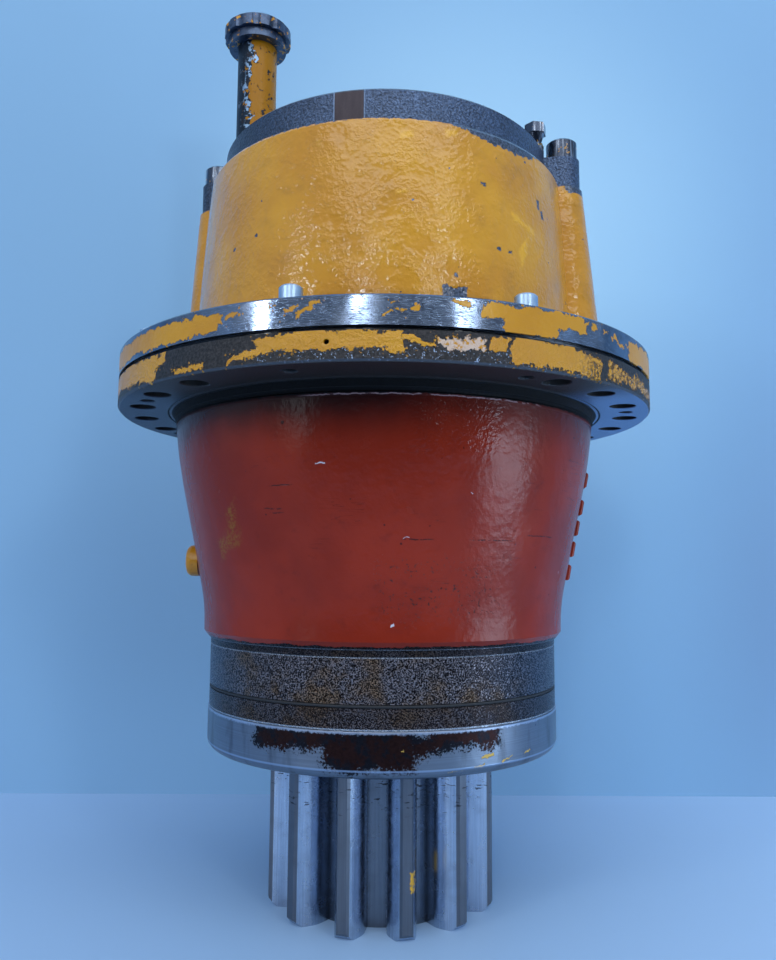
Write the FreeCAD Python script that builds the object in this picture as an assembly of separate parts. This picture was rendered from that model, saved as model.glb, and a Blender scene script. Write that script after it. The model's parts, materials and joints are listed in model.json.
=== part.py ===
import FreeCAD, Part
import math
import os

# Hydraulic slew drive: motor and brake under a two-lug cover, two planetary
# stages, output pinion. Millimetres, +Z up, z = 0 on the flange underside.
# Bearings are degrees from the front (-Y) towards the right (+X).

V = FreeCAD.Vector
ORIGIN = V(0, 0, 0)
UP = V(0, 0, 1)

# Flanges
FLANGE_R = 205.0
FLANGE_LOW_TOP = 19.7
FLANGE_TOP = 39.4
SEAM_DEPTH = 3.5
SEAM_HALF = 1.2
BOLT_R = 187.5
BOLT_HOLE_R = 9.0
BOLT_BEARINGS = [37.5, 52.5, 67.5, 82.5, 97.5, 112.5, 157.5, 172.5]
TIE_BEARINGS = [-15.0 + 45.0 * i for i in range(8)]
TIE_HOLE_R = 4.5
TIE_HEAD_R = 7.3
TIE_HEAD_H = 12.0

# Castings
PILOT_R = 163.5
PILOT_LOW = -5.0
LOW_CONE = [(162.5, -8.2), (154.6, -60.6), (147.0, -96.0), (141.8, -122.0), (138.9, -137.0),
            (137.6, -149.0), (137.3, -159.0)]
SPIGOT_R = 132.2
SPIGOT_SPLIT = -217.0
NOSE_BOTTOM = -247.0
NOSE_CHAMFER = 6.0
NOSE_R = 132.9
NOSE_SCREW_R = 121.2
UP_WALL = [(149.9, 44.0), (147.7, 93.0), (145.0, 132.0), (143.0, 160.0), (141.4, 179.0)]
CASING_TOP = 181.0
REGISTER_R = 147.1
REGISTER_BOTTOM = 14.5
CASING_BORE_R = 131.1
CARTRIDGE_R = 118.0
CLIP_GROOVE_R = 134.0

# Cover
COVER_R = 130.5
COVER_TOP = 208.5
LUG_BEARINGS = [79.7, -95.0]
LUG_PITCH_R = 143.3
LUG_R = 13.8
LUG_TOP = 205.0
LUG_SCREW_HEAD_R = 12.0
LUG_SCREW_HEAD_H = 16.0
BOSS_FOOT_R = [29.0, 25.0]
BOSS_TOP_R = 15.6
PATCH_BEARINGS = (-13.0, -4.5)

# Oil filler
FILLER_BEARING = -129.5
FILLER_R = 173.0
TUBE_R = 19.0
TUBE_BORE_R = 16.0
TUBE_TOP = 395.0
COLLAR_R = 28.0
CAP_R = 32.5
CAP_BOTTOM = 403.5
CAP_TOP = 415.5

# Pinion
PINION_MODULE = 12.0
PINION_TEETH = 12
PINION_SHIFT = 0.1
PINION_PHASE = 14.5
PINION_BOTTOM = -363.3
PINION_TOP = -251.5
PINION_TIP_R = 85.2
PINION_ROOT_R = 58.2
PINION_SEAT = -347.0

# Marks and plugs on the castings
PAD_BEARING = 85.0
PAD_HEIGHTS = [-47.6, -68.7, -84.4, -100.5, -118.2]
PAD_HALF_HEIGHT = 6.0
SIDE_PLUG_BEARING = -86.0
SIDE_PLUG_Z = -111.0
PIT_BEARING = -6.8
SIDE_PLUG_SEAT = 144.6

# Ports, plugs and screws of the cover
BLOCK_X = 132.0
BLOCK_Y = 72.0
BLOCK_TOP = 252.0
PORT_X = 36.0
PORT_Z = 231.0
PORT_R = 13.2
PILOT_PORT_R = 6.6
KIDNEY_X = 41.0
HEX_PLUG_R = 124.6
HEX_PLUG_BEARING = 72.5
HEX_PLUG_SEAT = 213.0
HEX_HEAD_LOW = 222.8
HEX_HEAD_TOP = 230.6
DRAIN_AT = V(0, 86, 0)
BLOCK_SCREW_X = 56.0
BLOCK_SCREW_Y = 26.0

# Brake
CAGE_LOW = 98.0
CAGE_HIGH = 138.0
DISC_PITCH = 6.4
DISC_THICK = 3.0
TANGS = 6
SPRING_RING_R = 85.0
SPRINGS = 8

# Gear stages: module, sun, planet and ring teeth, and face from and to
STAGE_1 = dict(m=4.0, sun=15, planet=21, ring=57, low=48.0, high=86.0)
STAGE_2 = dict(m=5.0, sun=15, planet=18, ring=51, low=-33.0, high=10.0)
PLANET_ANGLES = [90.0, 210.0, 330.0]
BACKLASH = 0.12
PRESSURE = math.radians(20.0)
PIN_1_R = 14.0
PIN_2_R = 19.0
PIN_GAP = 0.05

# Gerotor
GEROTOR_LOBES = 7
GEROTOR_R = 54.0
GEROTOR_OFFSET = 4.0
GEROTOR_ARC_R = 15.0
GEROTOR_OUT_R = 64.0
GEROTOR_LOW = 150.0
GEROTOR_HIGH = 172.0


def at(radius, bearing, z=0.0):
    a = math.radians(bearing)
    return V(radius * math.sin(a), -radius * math.cos(a), z)


def polar(radius, angle, z=0.0):
    a = math.radians(angle)
    return V(radius * math.cos(a), radius * math.sin(a), z)


def turned(shape, angle):
    copy = shape.copy()
    copy.rotate(ORIGIN, UP, angle)
    return copy


def cylinder(radius, low, high, centre=ORIGIN):
    return Part.makeCylinder(radius, high - low, V(centre.x, centre.y, low))


def ring(inner, outer, low, high, centre=ORIGIN):
    return cylinder(outer, low, high, centre).cut(cylinder(inner, low - 1, high + 1, centre))


def cone(low_r, high_r, low, high, centre=ORIGIN):
    return Part.makeCone(low_r, high_r, high - low, V(centre.x, centre.y, low))


def box(x_size, y_size, low, high, x=0.0, y=0.0):
    corner = V(x - x_size / 2, y - y_size / 2, low)
    return Part.makeBox(x_size, y_size, high - low, corner)


def turn_profile(*sections):
    """Revolve a closed outline. A section is a list of (r, z); a tuple of them is a smooth curve."""
    edges = []
    last = None
    first = None
    for section in sections:
        points = [V(r, 0, z) for r, z in section]
        if last is not None and (points[0] - last).Length > 1e-6:
            edges.append(Part.makeLine(last, points[0]))
        if isinstance(section, tuple):
            curve = Part.BSplineCurve()
            curve.interpolate(points)
            edges.append(curve.toShape())
        else:
            for a, b in zip(points, points[1:]):
                edges.append(Part.makeLine(a, b))
        first = first or points[0]
        last = points[-1]
    edges.append(Part.makeLine(last, first))
    return Part.Face(Part.Wire(edges)).revolve(ORIGIN, UP, 360)


def cut_all(shape, tools):
    return shape.cut(Part.makeCompound(tools)) if tools else shape


def fuse_all(shape, others):
    return shape.fuse(others).removeSplitter()


def outline_face(edges):
    return Part.Face(Part.Wire(edges))


def involute(angle):
    return math.tan(angle) - angle


def gear_face(module, teeth, tip_r, root_r, thickness, phase=0.0, shift=0.0):
    """Face bounded by an involute tooth outline; one tooth is centred on phase (degrees)."""
    pitch_r = module * teeth / 2
    base_r = pitch_r * math.cos(PRESSURE)
    normal = math.pi / 2 + 2 * shift * math.tan(PRESSURE)
    half = normal / teeth + thickness / (2 * pitch_r) + involute(PRESSURE)
    start_r = max(root_r, base_r)

    def flank(radius):
        return half - involute(math.acos(min(1.0, base_r / radius)))

    radii = [start_r + (tip_r - start_r) * (i / 5.0) ** 1.5 for i in range(6)]
    edges = []
    step = 2 * math.pi / teeth
    for i in range(teeth):
        centre = math.radians(phase) + i * step

        def spot(radius, angle):
            return V(radius * math.cos(angle), radius * math.sin(angle), 0)

        rising = [spot(r, centre - flank(r)) for r in radii]
        falling = [spot(r, centre + flank(r)) for r in reversed(radii)]
        if root_r < start_r - 1e-6:
            edges.append(Part.makeLine(spot(root_r, centre - flank(start_r)), rising[0]))
        up = Part.BSplineCurve()
        up.interpolate(rising)
        edges.append(up.toShape())
        edges.append(Part.Arc(rising[-1], spot(tip_r, centre), falling[0]).toShape())
        down = Part.BSplineCurve()
        down.interpolate(falling)
        edges.append(down.toShape())
        foot = falling[-1]
        if root_r < start_r - 1e-6:
            foot = spot(root_r, centre + flank(start_r))
            edges.append(Part.makeLine(falling[-1], foot))
        following = spot(root_r, centre + step - flank(start_r))
        edges.append(Part.Arc(foot, spot(root_r, centre + step / 2), following).toShape())
    return outline_face(edges)


def extrude(face, low, high):
    face = face.copy()
    face.translate(V(0, 0, low))
    return face.extrude(V(0, 0, high - low))


def external_gear(module, teeth, low, high, phase):
    pitch_r = module * teeth / 2
    face = gear_face(module, teeth, pitch_r + module, pitch_r - 1.25 * module, -BACKLASH, phase)
    return extrude(face, low, high)


def internal_space(module, teeth, low, high, phase):
    pitch_r = module * teeth / 2
    face = gear_face(module, teeth, pitch_r + 1.25 * module, pitch_r - module, BACKLASH, phase)
    return extrude(face, low, high)


def splined(teeth, root_r, tip_r, low, high, gap=0.0):
    points = []
    for i in range(teeth):
        centre = 360.0 * i / teeth
        root_half = 360.0 / teeth * 0.30 + math.degrees(gap / root_r)
        tip_half = 360.0 / teeth * 0.18 + math.degrees(gap / tip_r)
        points.append(polar(root_r + gap, centre - root_half, low))
        points.append(polar(tip_r + gap, centre - tip_half, low))
        points.append(polar(tip_r + gap, centre + tip_half, low))
        points.append(polar(root_r + gap, centre + root_half, low))
    face = Part.Face(Part.makePolygon(points + [points[0]]))
    return face.extrude(V(0, 0, high - low))


def hex_prism(across, low, high, centre=ORIGIN, twist=0.0):
    corner = across / math.sqrt(3)
    points = [polar(corner, 60 * i + twist) + V(centre.x, centre.y, low) for i in range(6)]
    return Part.Face(Part.makePolygon(points + [points[0]])).extrude(V(0, 0, high - low))


def cap_screw(shank_r, head_r, head_h, socket, low, seat, centre):
    """Socket-head screw standing on its seat, head up."""
    body = cylinder(shank_r, low, seat, centre)
    head = cylinder(head_r, seat, seat + head_h - 1.2, centre)
    crown = cone(head_r, head_r - 1.2, seat + head_h - 1.2, seat + head_h, centre)
    screw = body.fuse([head, crown]).removeSplitter()
    return screw.cut(hex_prism(socket, seat + head_h * 0.5, seat + head_h + 1, centre))


# ---------------------------------------------------------------- housings

def flange_holes(low, high, tie_r):
    tools = []
    for bearing in BOLT_BEARINGS:
        for side in (1, -1):
            tools.append(cylinder(BOLT_HOLE_R, low - 1, high + 1, at(BOLT_R, side * bearing)))
    for bearing in TIE_BEARINGS:
        tools.append(cylinder(tie_r, low - 1, high + 1, at(BOLT_R, bearing)))
    return tools


def hole_bevels(low, high, tie_r):
    """Small bevels on the mouths of the flange holes."""
    bevels = []
    spots = [(tie_r, 0.9, 1.0, at(BOLT_R, bearing)) for bearing in TIE_BEARINGS]
    for bearing in BOLT_BEARINGS:
        spots += [(BOLT_HOLE_R, 0.6, 0.7, at(BOLT_R, side * bearing)) for side in (1, -1)]
    for hole_r, extra, depth, spot in spots:
        bevels.append(cone(hole_r + extra, hole_r - 0.1, low - 0.01, low + depth, spot))
        bevels.append(cone(hole_r - 0.1, hole_r + extra, high - depth, high + 0.01, spot))
    return bevels


def lower_flange():
    seam = FLANGE_R - SEAM_DEPTH
    body = turn_profile(
        [(REGISTER_R, FLANGE_LOW_TOP), (seam, FLANGE_LOW_TOP), (seam, FLANGE_LOW_TOP - SEAM_HALF),
         (FLANGE_R, FLANGE_LOW_TOP - SEAM_HALF - 0.2), (FLANGE_R, 1.5), (FLANGE_R - 1.5, 0),
         (169.2, 0), (168.4, 0.9), (167.6, 0), (PILOT_R, 0), (PILOT_R, PILOT_LOW),
         (REGISTER_R, PILOT_LOW)],
    )
    tools = flange_holes(0, FLANGE_LOW_TOP, TIE_HOLE_R)
    tools.append(Part.makeCylinder(1.6, 9, at(197, PIT_BEARING, 11.6), at(1, PIT_BEARING)))
    body = cut_all(body, tools)
    return cut_all(body, hole_bevels(0, FLANGE_LOW_TOP, TIE_HOLE_R))


def lower_housing():
    body = turn_profile(
        [(REGISTER_R, PILOT_LOW), (PILOT_R - 0.8, PILOT_LOW), (161.8, -6.0), (161.4, -7.2)],
        tuple(LOW_CONE),
        [(137.3, -162), (133.4, -167), (SPIGOT_R, -167.2), (SPIGOT_R, -171.3),
         (SPIGOT_R - 0.6, -172), (SPIGOT_R, -172.7), (SPIGOT_R, -200.8), (130.9, -200.8), (130.9, -203.4),
         (SPIGOT_R, -203.4), (SPIGOT_R, SPIGOT_SPLIT), (115.1, SPIGOT_SPLIT), (115.1, -190),
         (106, -190), (106, -181), (118, -172), (124, -150), (126, -134), (96, -124), (96, -118),
         (105.1, -118), (105.1, -78), (128, -66), (128, -38), (REGISTER_R, -38)],
    )
    body = fuse_all(body, [pad_on_cone(z) for z in PAD_HEIGHTS])
    tools = []
    plug_dir = at(1, SIDE_PLUG_BEARING)
    plug_axis = V(0, 0, SIDE_PLUG_Z)
    tools.append(Part.makeCylinder(7.1, 24, plug_dir * 122 + plug_axis, plug_dir))
    tools.append(Part.makeCylinder(12.4, 10, plug_dir * (SIDE_PLUG_SEAT - 0.05) + plug_axis, plug_dir))
    for i in range(8):
        tools.append(cylinder(3.1, SPIGOT_SPLIT - 1, SPIGOT_SPLIT + 14, at(NOSE_SCREW_R, 22.5 + 45 * i)))
    return cut_all(body, tools)


def cone_radius(z):
    """Radius of the tapered red casting at a height, straight between its control rings."""
    for (r0, z0), (r1, z1) in zip(LOW_CONE, LOW_CONE[1:]):
        if z0 >= z >= z1:
            return r0 + (r1 - r0) * (z0 - z) / (z0 - z1)
    return LOW_CONE[-1][0]


def pad_on_cone(z):
    """Raised blank cast mark: a rounded block standing off the taper."""
    radius = cone_radius(z)
    block = Part.makeBox(10.0, 15.0, 2 * PAD_HALF_HEIGHT, V(radius - 7.2, -7.5, -PAD_HALF_HEIGHT))
    block = block.makeFillet(2.4, [e for e in block.Edges if abs(e.CenterOfMass.x - radius - 2.8) < 0.1
                                   and abs(e.tangentAt(e.FirstParameter).x) < 0.5])
    block.rotate(V(radius, 0, 0), V(0, 1, 0), 10.5)
    block.translate(V(0, 0, z))
    return turned(block, PAD_BEARING - 90)


def upper_flange():
    seam = FLANGE_R - SEAM_DEPTH
    register = REGISTER_R - 0.1
    body = turn_profile(
        [(register, FLANGE_LOW_TOP), (seam, FLANGE_LOW_TOP), (seam, FLANGE_LOW_TOP + SEAM_HALF),
         (FLANGE_R, FLANGE_LOW_TOP + SEAM_HALF + 0.2), (FLANGE_R, FLANGE_TOP - 1.0),
         (FLANGE_R - 1.0, FLANGE_TOP), (CASING_BORE_R, FLANGE_TOP),
         (CASING_BORE_R, REGISTER_BOTTOM), (register, REGISTER_BOTTOM)],
    )
    socket_at = at(FILLER_R, FILLER_BEARING)
    socket = [cylinder(25.5, FLANGE_TOP - 2, 54, socket_at), cone(25.5, 22.5, 54, 58, socket_at)]
    body = fuse_all(body, socket)
    body = body.cut(cylinder(157.0, FLANGE_TOP, 60))
    tools = flange_holes(FLANGE_LOW_TOP, FLANGE_TOP, 4.1)
    tools.append(cylinder(TUBE_R + 0.05, 46, 60, socket_at))
    tools.append(cylinder(TUBE_BORE_R, 26, 47, socket_at))
    inward = at(-1, FILLER_BEARING)
    tools.append(Part.makeCylinder(5.0, 52, at(FILLER_R + 5, FILLER_BEARING, 31.5), inward))
    body = cut_all(body, tools)
    return cut_all(body, hole_bevels(FLANGE_LOW_TOP, FLANGE_TOP, 4.1))


def upper_housing():
    body = turn_profile(
        [(CASING_BORE_R, FLANGE_TOP), (156, FLANGE_TOP), (152, 40.8)],
        tuple(UP_WALL),
        [(140.2, CASING_TOP), (CARTRIDGE_R, CASING_TOP), (CARTRIDGE_R, 98), (110, 98), (110, 94),
         (CASING_BORE_R, 94)],
    )
    bosses = []
    for bearing, foot_r in zip(LUG_BEARINGS, BOSS_FOOT_R):
        centre = at(LUG_PITCH_R, bearing)
        bosses.append(cone(foot_r, BOSS_TOP_R, FLANGE_TOP, CASING_TOP - 1.5, centre))
        bosses.append(cone(BOSS_TOP_R, BOSS_TOP_R - 1.5, CASING_TOP - 1.5, CASING_TOP, centre))
    body = fuse_all(body, bosses)
    tools = [cylinder(CARTRIDGE_R, 98, CASING_TOP + 1), cylinder(CASING_BORE_R, FLANGE_TOP - 1, 94)]
    tools.append(cylinder(CLIP_GROOVE_R, 43.4, 46.4))
    for bearing in LUG_BEARINGS:
        tools.append(cylinder(8.05, 140, CASING_TOP + 1, at(LUG_PITCH_R, bearing)))
    return cut_all(body, tools)


def flange_screws():
    screws = []
    for bearing in TIE_BEARINGS:
        centre = at(BOLT_R, bearing)
        screws.append(cap_screw(4.0, TIE_HEAD_R, TIE_HEAD_H, 6.0, 4.0, FLANGE_TOP, centre))
    return Part.makeCompound(screws)


def nose_ring():
    body = turn_profile(
        [(115.3, SPIGOT_SPLIT - 0.3), (NOSE_R - 0.5, SPIGOT_SPLIT - 0.3), (NOSE_R, SPIGOT_SPLIT - 0.8),
         (NOSE_R, NOSE_BOTTOM + NOSE_CHAMFER)],
        ((NOSE_R, NOSE_BOTTOM + NOSE_CHAMFER), (NOSE_R - 0.9, NOSE_BOTTOM + 3.4),
         (NOSE_R - 3.0, NOSE_BOTTOM + 1.2), (NOSE_R - 6.2, NOSE_BOTTOM)),
        [(NOSE_R - 6.2, NOSE_BOTTOM), (86.1, NOSE_BOTTOM), (86.1, -230.1), (115.3, -230.1)],
    )
    tools = []
    for i in range(8):
        centre = at(NOSE_SCREW_R, 22.5 + 45 * i)
        tools.append(cylinder(3.1, NOSE_BOTTOM - 1, SPIGOT_SPLIT, centre))
        tools.append(cylinder(5.4, NOSE_BOTTOM - 1, NOSE_BOTTOM + 7, centre))
    return cut_all(body, tools)


def nose_screws():
    screws = []
    for i in range(8):
        centre = at(NOSE_SCREW_R, 22.5 + 45 * i)
        body = cylinder(3.0, NOSE_BOTTOM + 6.9, SPIGOT_SPLIT + 12, centre)
        head = cylinder(5.0, NOSE_BOTTOM + 0.9, NOSE_BOTTOM + 6.9, centre)
        socket = hex_prism(5.0, NOSE_BOTTOM, NOSE_BOTTOM + 4, centre)
        screws.append(body.fuse(head).cut(socket))
    return Part.makeCompound(screws)


def spigot_seal():
    return turn_profile([(131.0, -203.2), (131.9, -202.9), (132.1, -202.1), (131.9, -201.3), (131.0, -201.0)])


def shaft_seal():
    return turn_profile(
        [(86.05, -246.0), (86.05, -231.0), (83.5, -231.0), (83.5, -243.0), (78.5, -243.0), (75.0, -238.5),
         (72.08, -238.5), (72.08, -240.0), (74.5, -246.0)],
    )


def side_plug():
    """Domed push-in plug in the side of the red casting, pointing outwards."""
    head = Part.makeCylinder(12.0, 9.6, V(0, 0, 0))
    rim = [e for e in head.Edges if abs(e.CenterOfMass.z - 9.6) < 0.1 and len(e.Vertexes) == 1]
    head = head.makeFillet(4.6, rim)
    plug = head.fuse(Part.makeCylinder(7.0, 18, V(0, 0, -16))).removeSplitter()
    plug.rotate(ORIGIN, V(1, 0, 0), 90)
    plug = turned(plug, SIDE_PLUG_BEARING)
    plug.translate(at(SIDE_PLUG_SEAT, SIDE_PLUG_BEARING, SIDE_PLUG_Z))
    return plug


# ------------------------------------------------------------ cover and ports

def motor_cover():
    body = turn_profile(
        [(0, CASING_TOP - 3), (CARTRIDGE_R - 0.2, CASING_TOP - 3), (CARTRIDGE_R - 0.2, CASING_TOP),
         (COVER_R, CASING_TOP), (COVER_R, COVER_TOP - 2), (COVER_R - 2, COVER_TOP), (0, COVER_TOP)],
    )
    lugs = []
    for bearing in LUG_BEARINGS:
        round_end = cylinder(LUG_R, CASING_TOP, LUG_TOP, at(LUG_PITCH_R, bearing))
        web = box(2 * LUG_R, 24, CASING_TOP, LUG_TOP, 0, -LUG_PITCH_R + 12)
        lugs += [round_end, turned(web, bearing)]
    lugs.append(cylinder(7.5, COVER_TOP - 2, COVER_TOP + 3, at(HEX_PLUG_R, HEX_PLUG_BEARING)).common(
        cylinder(COVER_R, COVER_TOP - 2, COVER_TOP + 3)))
    body = fuse_all(body, lugs)
    low, high = PATCH_BEARINGS
    width = math.radians(high - low) * COVER_R
    flat = box(width, 10, CASING_TOP + 0.6, COVER_TOP + 1, 0, -COVER_R - 4.6)
    tools = [turned(flat, (low + high) / 2)]
    for bearing in LUG_BEARINGS:
        tools.append(cylinder(8.5, CASING_TOP - 1, LUG_TOP + 1, at(LUG_PITCH_R, bearing)))
    for side in (-1, 1):
        tools.append(cylinder(8.0, CASING_TOP - 4, COVER_TOP + 1, V(side * KIDNEY_X, 0, 0)))
    tools.append(cylinder(4.1, COVER_TOP - 14, COVER_TOP + 4, at(HEX_PLUG_R, HEX_PLUG_BEARING)))
    tools.append(cylinder(10.0, 194, COVER_TOP + 1, DRAIN_AT))
    tools.append(cylinder(4.0, CASING_TOP - 4, 195, DRAIN_AT))
    for x in (-1, 1):
        for y in (-1, 1):
            tools.append(cylinder(6.1, 190, COVER_TOP + 1, V(x * BLOCK_SCREW_X, y * BLOCK_SCREW_Y, 0)))
    return cut_all(body, tools)


def cover_screws():
    screws = []
    for bearing in LUG_BEARINGS:
        centre = at(LUG_PITCH_R, bearing)
        screws.append(cap_screw(8.0, LUG_SCREW_HEAD_R, LUG_SCREW_HEAD_H, 14.0, 143, LUG_TOP, centre))
    return Part.makeCompound(screws)


def hex_plug():
    """Breather plug: thin shank, flat foot, flared neck, hexagon head."""
    centre = at(HEX_PLUG_R, HEX_PLUG_BEARING)
    shank = cylinder(4.0, COVER_TOP - 12, HEX_PLUG_SEAT + 3, centre)
    foot = cylinder(5.6, HEX_PLUG_SEAT, HEX_PLUG_SEAT + 2, centre)
    neck = cone(4.0, 7.0, HEX_PLUG_SEAT + 2, HEX_HEAD_LOW, centre)
    head = hex_prism(15.0, HEX_HEAD_LOW, HEX_HEAD_TOP, centre, 12)
    head = head.common(cone(13.5, 7.4, HEX_HEAD_LOW, HEX_HEAD_TOP + 1.4, centre))
    return shank.fuse([foot, neck, head]).removeSplitter()


def plug_washer():
    return ring(4.05, 6.4, COVER_TOP + 3, HEX_PLUG_SEAT, at(HEX_PLUG_R, HEX_PLUG_BEARING))


def port_block():
    body = box(BLOCK_X, BLOCK_Y, COVER_TOP, BLOCK_TOP)
    upright = [e for e in body.Edges if abs(e.tangentAt(e.FirstParameter).z) > 0.9]
    body = body.makeFillet(7.0, upright)
    top = [e for e in body.Edges if abs(e.CenterOfMass.z - BLOCK_TOP) < 0.01]
    body = body.makeChamfer(2.0, top)
    tools = []
    back = BLOCK_Y / 2
    for side in (-1, 1):
        mouth = V(side * PORT_X, back - 20, PORT_Z)
        tools.append(Part.makeCylinder(PORT_R, 21, mouth, V(0, 1, 0)))
        tools.append(Part.makeCylinder(20.0, 2, V(side * PORT_X, back - 1, PORT_Z), V(0, 1, 0)))
        tools.append(Part.makeCylinder(8.0, 22, V(side * PORT_X, back - 41, PORT_Z), V(0, 1, 0)))
        tools.append(cylinder(8.0, COVER_TOP - 1, PORT_Z + 4, V(side * KIDNEY_X, 0, 0)))
        for y in (-1, 1):
            spot = V(side * BLOCK_SCREW_X, y * BLOCK_SCREW_Y, 0)
            tools.append(cylinder(6.6, COVER_TOP - 1, BLOCK_TOP + 1, spot))
            tools.append(cylinder(9.6, BLOCK_TOP - 13, BLOCK_TOP + 1, spot))
    tools.append(cylinder(PILOT_PORT_R, BLOCK_TOP - 14, BLOCK_TOP + 1, V(0, -14, 0)))
    return cut_all(body, tools)


def block_screws():
    screws = []
    for x in (-1, 1):
        for y in (-1, 1):
            centre = V(x * BLOCK_SCREW_X, y * BLOCK_SCREW_Y, 0)
            screws.append(cap_screw(6.0, 9.0, 12.0, 10.0, 192, BLOCK_TOP - 13, centre))
    return Part.makeCompound(screws)


# ----------------------------------------------------------------- oil filler

def filler_tube():
    return ring(TUBE_BORE_R, TUBE_R, 46.02, CAP_BOTTOM - 0.4, at(FILLER_R, FILLER_BEARING))


def filler_collar():
    centre = at(FILLER_R, FILLER_BEARING)
    return ring(TUBE_R + 0.05, COLLAR_R, TUBE_TOP, CAP_BOTTOM - 0.4, centre)


def filler_cap():
    centre = at(FILLER_R, FILLER_BEARING)
    body = cylinder(CAP_R, CAP_BOTTOM, CAP_TOP - 2.0, centre)
    crown = cone(CAP_R, CAP_R - 2.0, CAP_TOP - 2.0, CAP_TOP, centre)
    neck = cylinder(TUBE_BORE_R - 0.4, CAP_BOTTOM - 14, CAP_BOTTOM, centre)
    cap = body.fuse([crown, neck]).removeSplitter()
    tools = []
    for i in range(12):
        spot = polar(CAP_R + 5.2, 30 * i + 8) + centre
        tools.append(cylinder(6.8, CAP_BOTTOM - 1, CAP_TOP + 1, spot))
    tools.append(cylinder(2.1, CAP_BOTTOM - 15, CAP_BOTTOM - 4, centre))
    return cut_all(cap, tools)


def dipstick():
    centre = at(FILLER_R, FILLER_BEARING)
    rod = cylinder(2.0, 66, CAP_BOTTOM - 4.2, centre)
    blade = box(6.0, 1.4, 50, 92, centre.x, centre.y)
    return rod.fuse(blade).removeSplitter()


# --------------------------------------------------------------- gear stages

def planet_phase(stage, angle):
    """Tooth direction (degrees) of a planet in mesh with a sun that has a tooth at 0."""
    phi = math.radians(angle)
    alpha = phi + math.pi - (math.pi - phi * stage["sun"]) / stage["planet"]
    return math.degrees(alpha)


def ring_phase(stage):
    """Direction of a tooth space of the ring gear in mesh with the first planet."""
    angle = PLANET_ANGLES[0]
    offset = (angle - planet_phase(stage, angle)) * stage["planet"] / stage["ring"]
    return angle - offset


def centre_distance(stage):
    return stage["m"] * (stage["sun"] + stage["planet"]) / 2


def planet(stage, angle, pin_r):
    low, high = stage["low"], stage["high"]
    gear = external_gear(stage["m"], stage["planet"], low, high, planet_phase(stage, angle))
    gear = gear.cut(cylinder(pin_r + PIN_GAP, low - 1, high + 1))
    outer = stage["m"] * (stage["planet"] / 2 - 1.25) - 3
    for z in (low, high - 2):
        gear = gear.cut(ring(pin_r + 6, outer, z - (z == low), z + 2 + (z != low)))
    gear.translate(polar(centre_distance(stage), angle))
    return gear


def ring_gear(stage, outer_r, low, high):
    blank = cylinder(outer_r, low, high)
    return blank.cut(internal_space(stage["m"], stage["ring"], low - 1, high + 1, ring_phase(stage)))


def sun_2():
    teeth = external_gear(STAGE_2["m"], STAGE_2["sun"], STAGE_2["low"] + 1, 12, 0)
    return teeth.fuse([cylinder(31.0, 12, 27.9), splined(16, 27.0, 30.0, 27.9, 46)]).removeSplitter()


def carrier_1():
    plate = cylinder(96, 30, 44)
    hub = cylinder(46, 28, 44)
    body = plate.fuse(hub).removeSplitter()
    tools = [splined(16, 27.0, 30.0, 27, 45, 0.15)]
    for angle in PLANET_ANGLES:
        tools.append(cylinder(PIN_1_R - 1.9, 29, 45, polar(centre_distance(STAGE_1), angle)))
        tools.append(cylinder(13, 29, 45, polar(74, angle + 60)))
    return cut_all(body, tools)


def carrier_pins(stage, pin_r, foot_r, foot_low, foot_high, top):
    pins = []
    for angle in PLANET_ANGLES:
        centre = polar(centre_distance(stage), angle)
        foot = cylinder(foot_r, foot_low, foot_high, centre)
        collar = cylinder(pin_r + 5, foot_high, stage["low"] - 0.5, centre)
        shank = cylinder(pin_r, stage["low"] - 0.5, top, centre)
        pins.append(foot.fuse([collar, shank]).removeSplitter())
    return Part.makeCompound(pins)


def pin_rings(stage, pin_r, low):
    rings = []
    for angle in PLANET_ANGLES:
        rings.append(ring(pin_r + 0.05, pin_r + 6, low, low + 2.5, polar(centre_distance(stage), angle)))
    return Part.makeCompound(rings)


def carrier_2():
    plate = cylinder(118, -62, -40)
    hub = cylinder(72, -73.5, -40)
    lid = cylinder(118, 13.5, 24)
    parts = [hub, lid]
    for angle in PLANET_ANGLES:
        web = box(34, 30, -41, 14, 99, 0)
        parts.append(turned(web, angle + 60).common(ring(60, 116, -41, 14)))
    body = fuse_all(plate, parts)
    tools = [cylinder(56, 13, 25), splined(20, 46.0, 50.0, -75, -39, 0.15)]
    for angle in PLANET_ANGLES:
        centre = polar(centre_distance(STAGE_2), angle)
        tools.append(cylinder(PIN_2_R - 1.9, -63, -39, centre))
        tools.append(cylinder(PIN_2_R + 0.05, 13, 25, centre))
    return cut_all(body, tools)


def motor_shaft():
    teeth = external_gear(STAGE_1["m"], STAGE_1["sun"], STAGE_1["low"], STAGE_1["high"] + 2, 0)
    parts = [cylinder(24.0, 88, 100), cylinder(24.95, 138, 149.6), cylinder(24.9, 100, 138),
             splined(8, 21.0, 24.0, 149.6, 171.8), cylinder(17.95, 171.8, 177.6)]
    shaft = teeth.fuse(parts).removeSplitter()
    return shaft.cut(cylinder(5, 44, 70))


def brake_hub():
    body = splined(24, 46.0, 50.0, 101.5, 119.5).cut(cylinder(25.0, 101, 120))
    return body


# --------------------------------------------------------------------- brake

def brake_cage():
    body = ring(108, CARTRIDGE_R - 0.1, CAGE_LOW, CAGE_HIGH).fuse(ring(62, 108.5, CAGE_LOW, 102))
    slots = [turned(box(20, 16, 102, 124, 108, 0), 60 * i) for i in range(TANGS)]
    return cut_all(body.removeSplitter(), slots)


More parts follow.
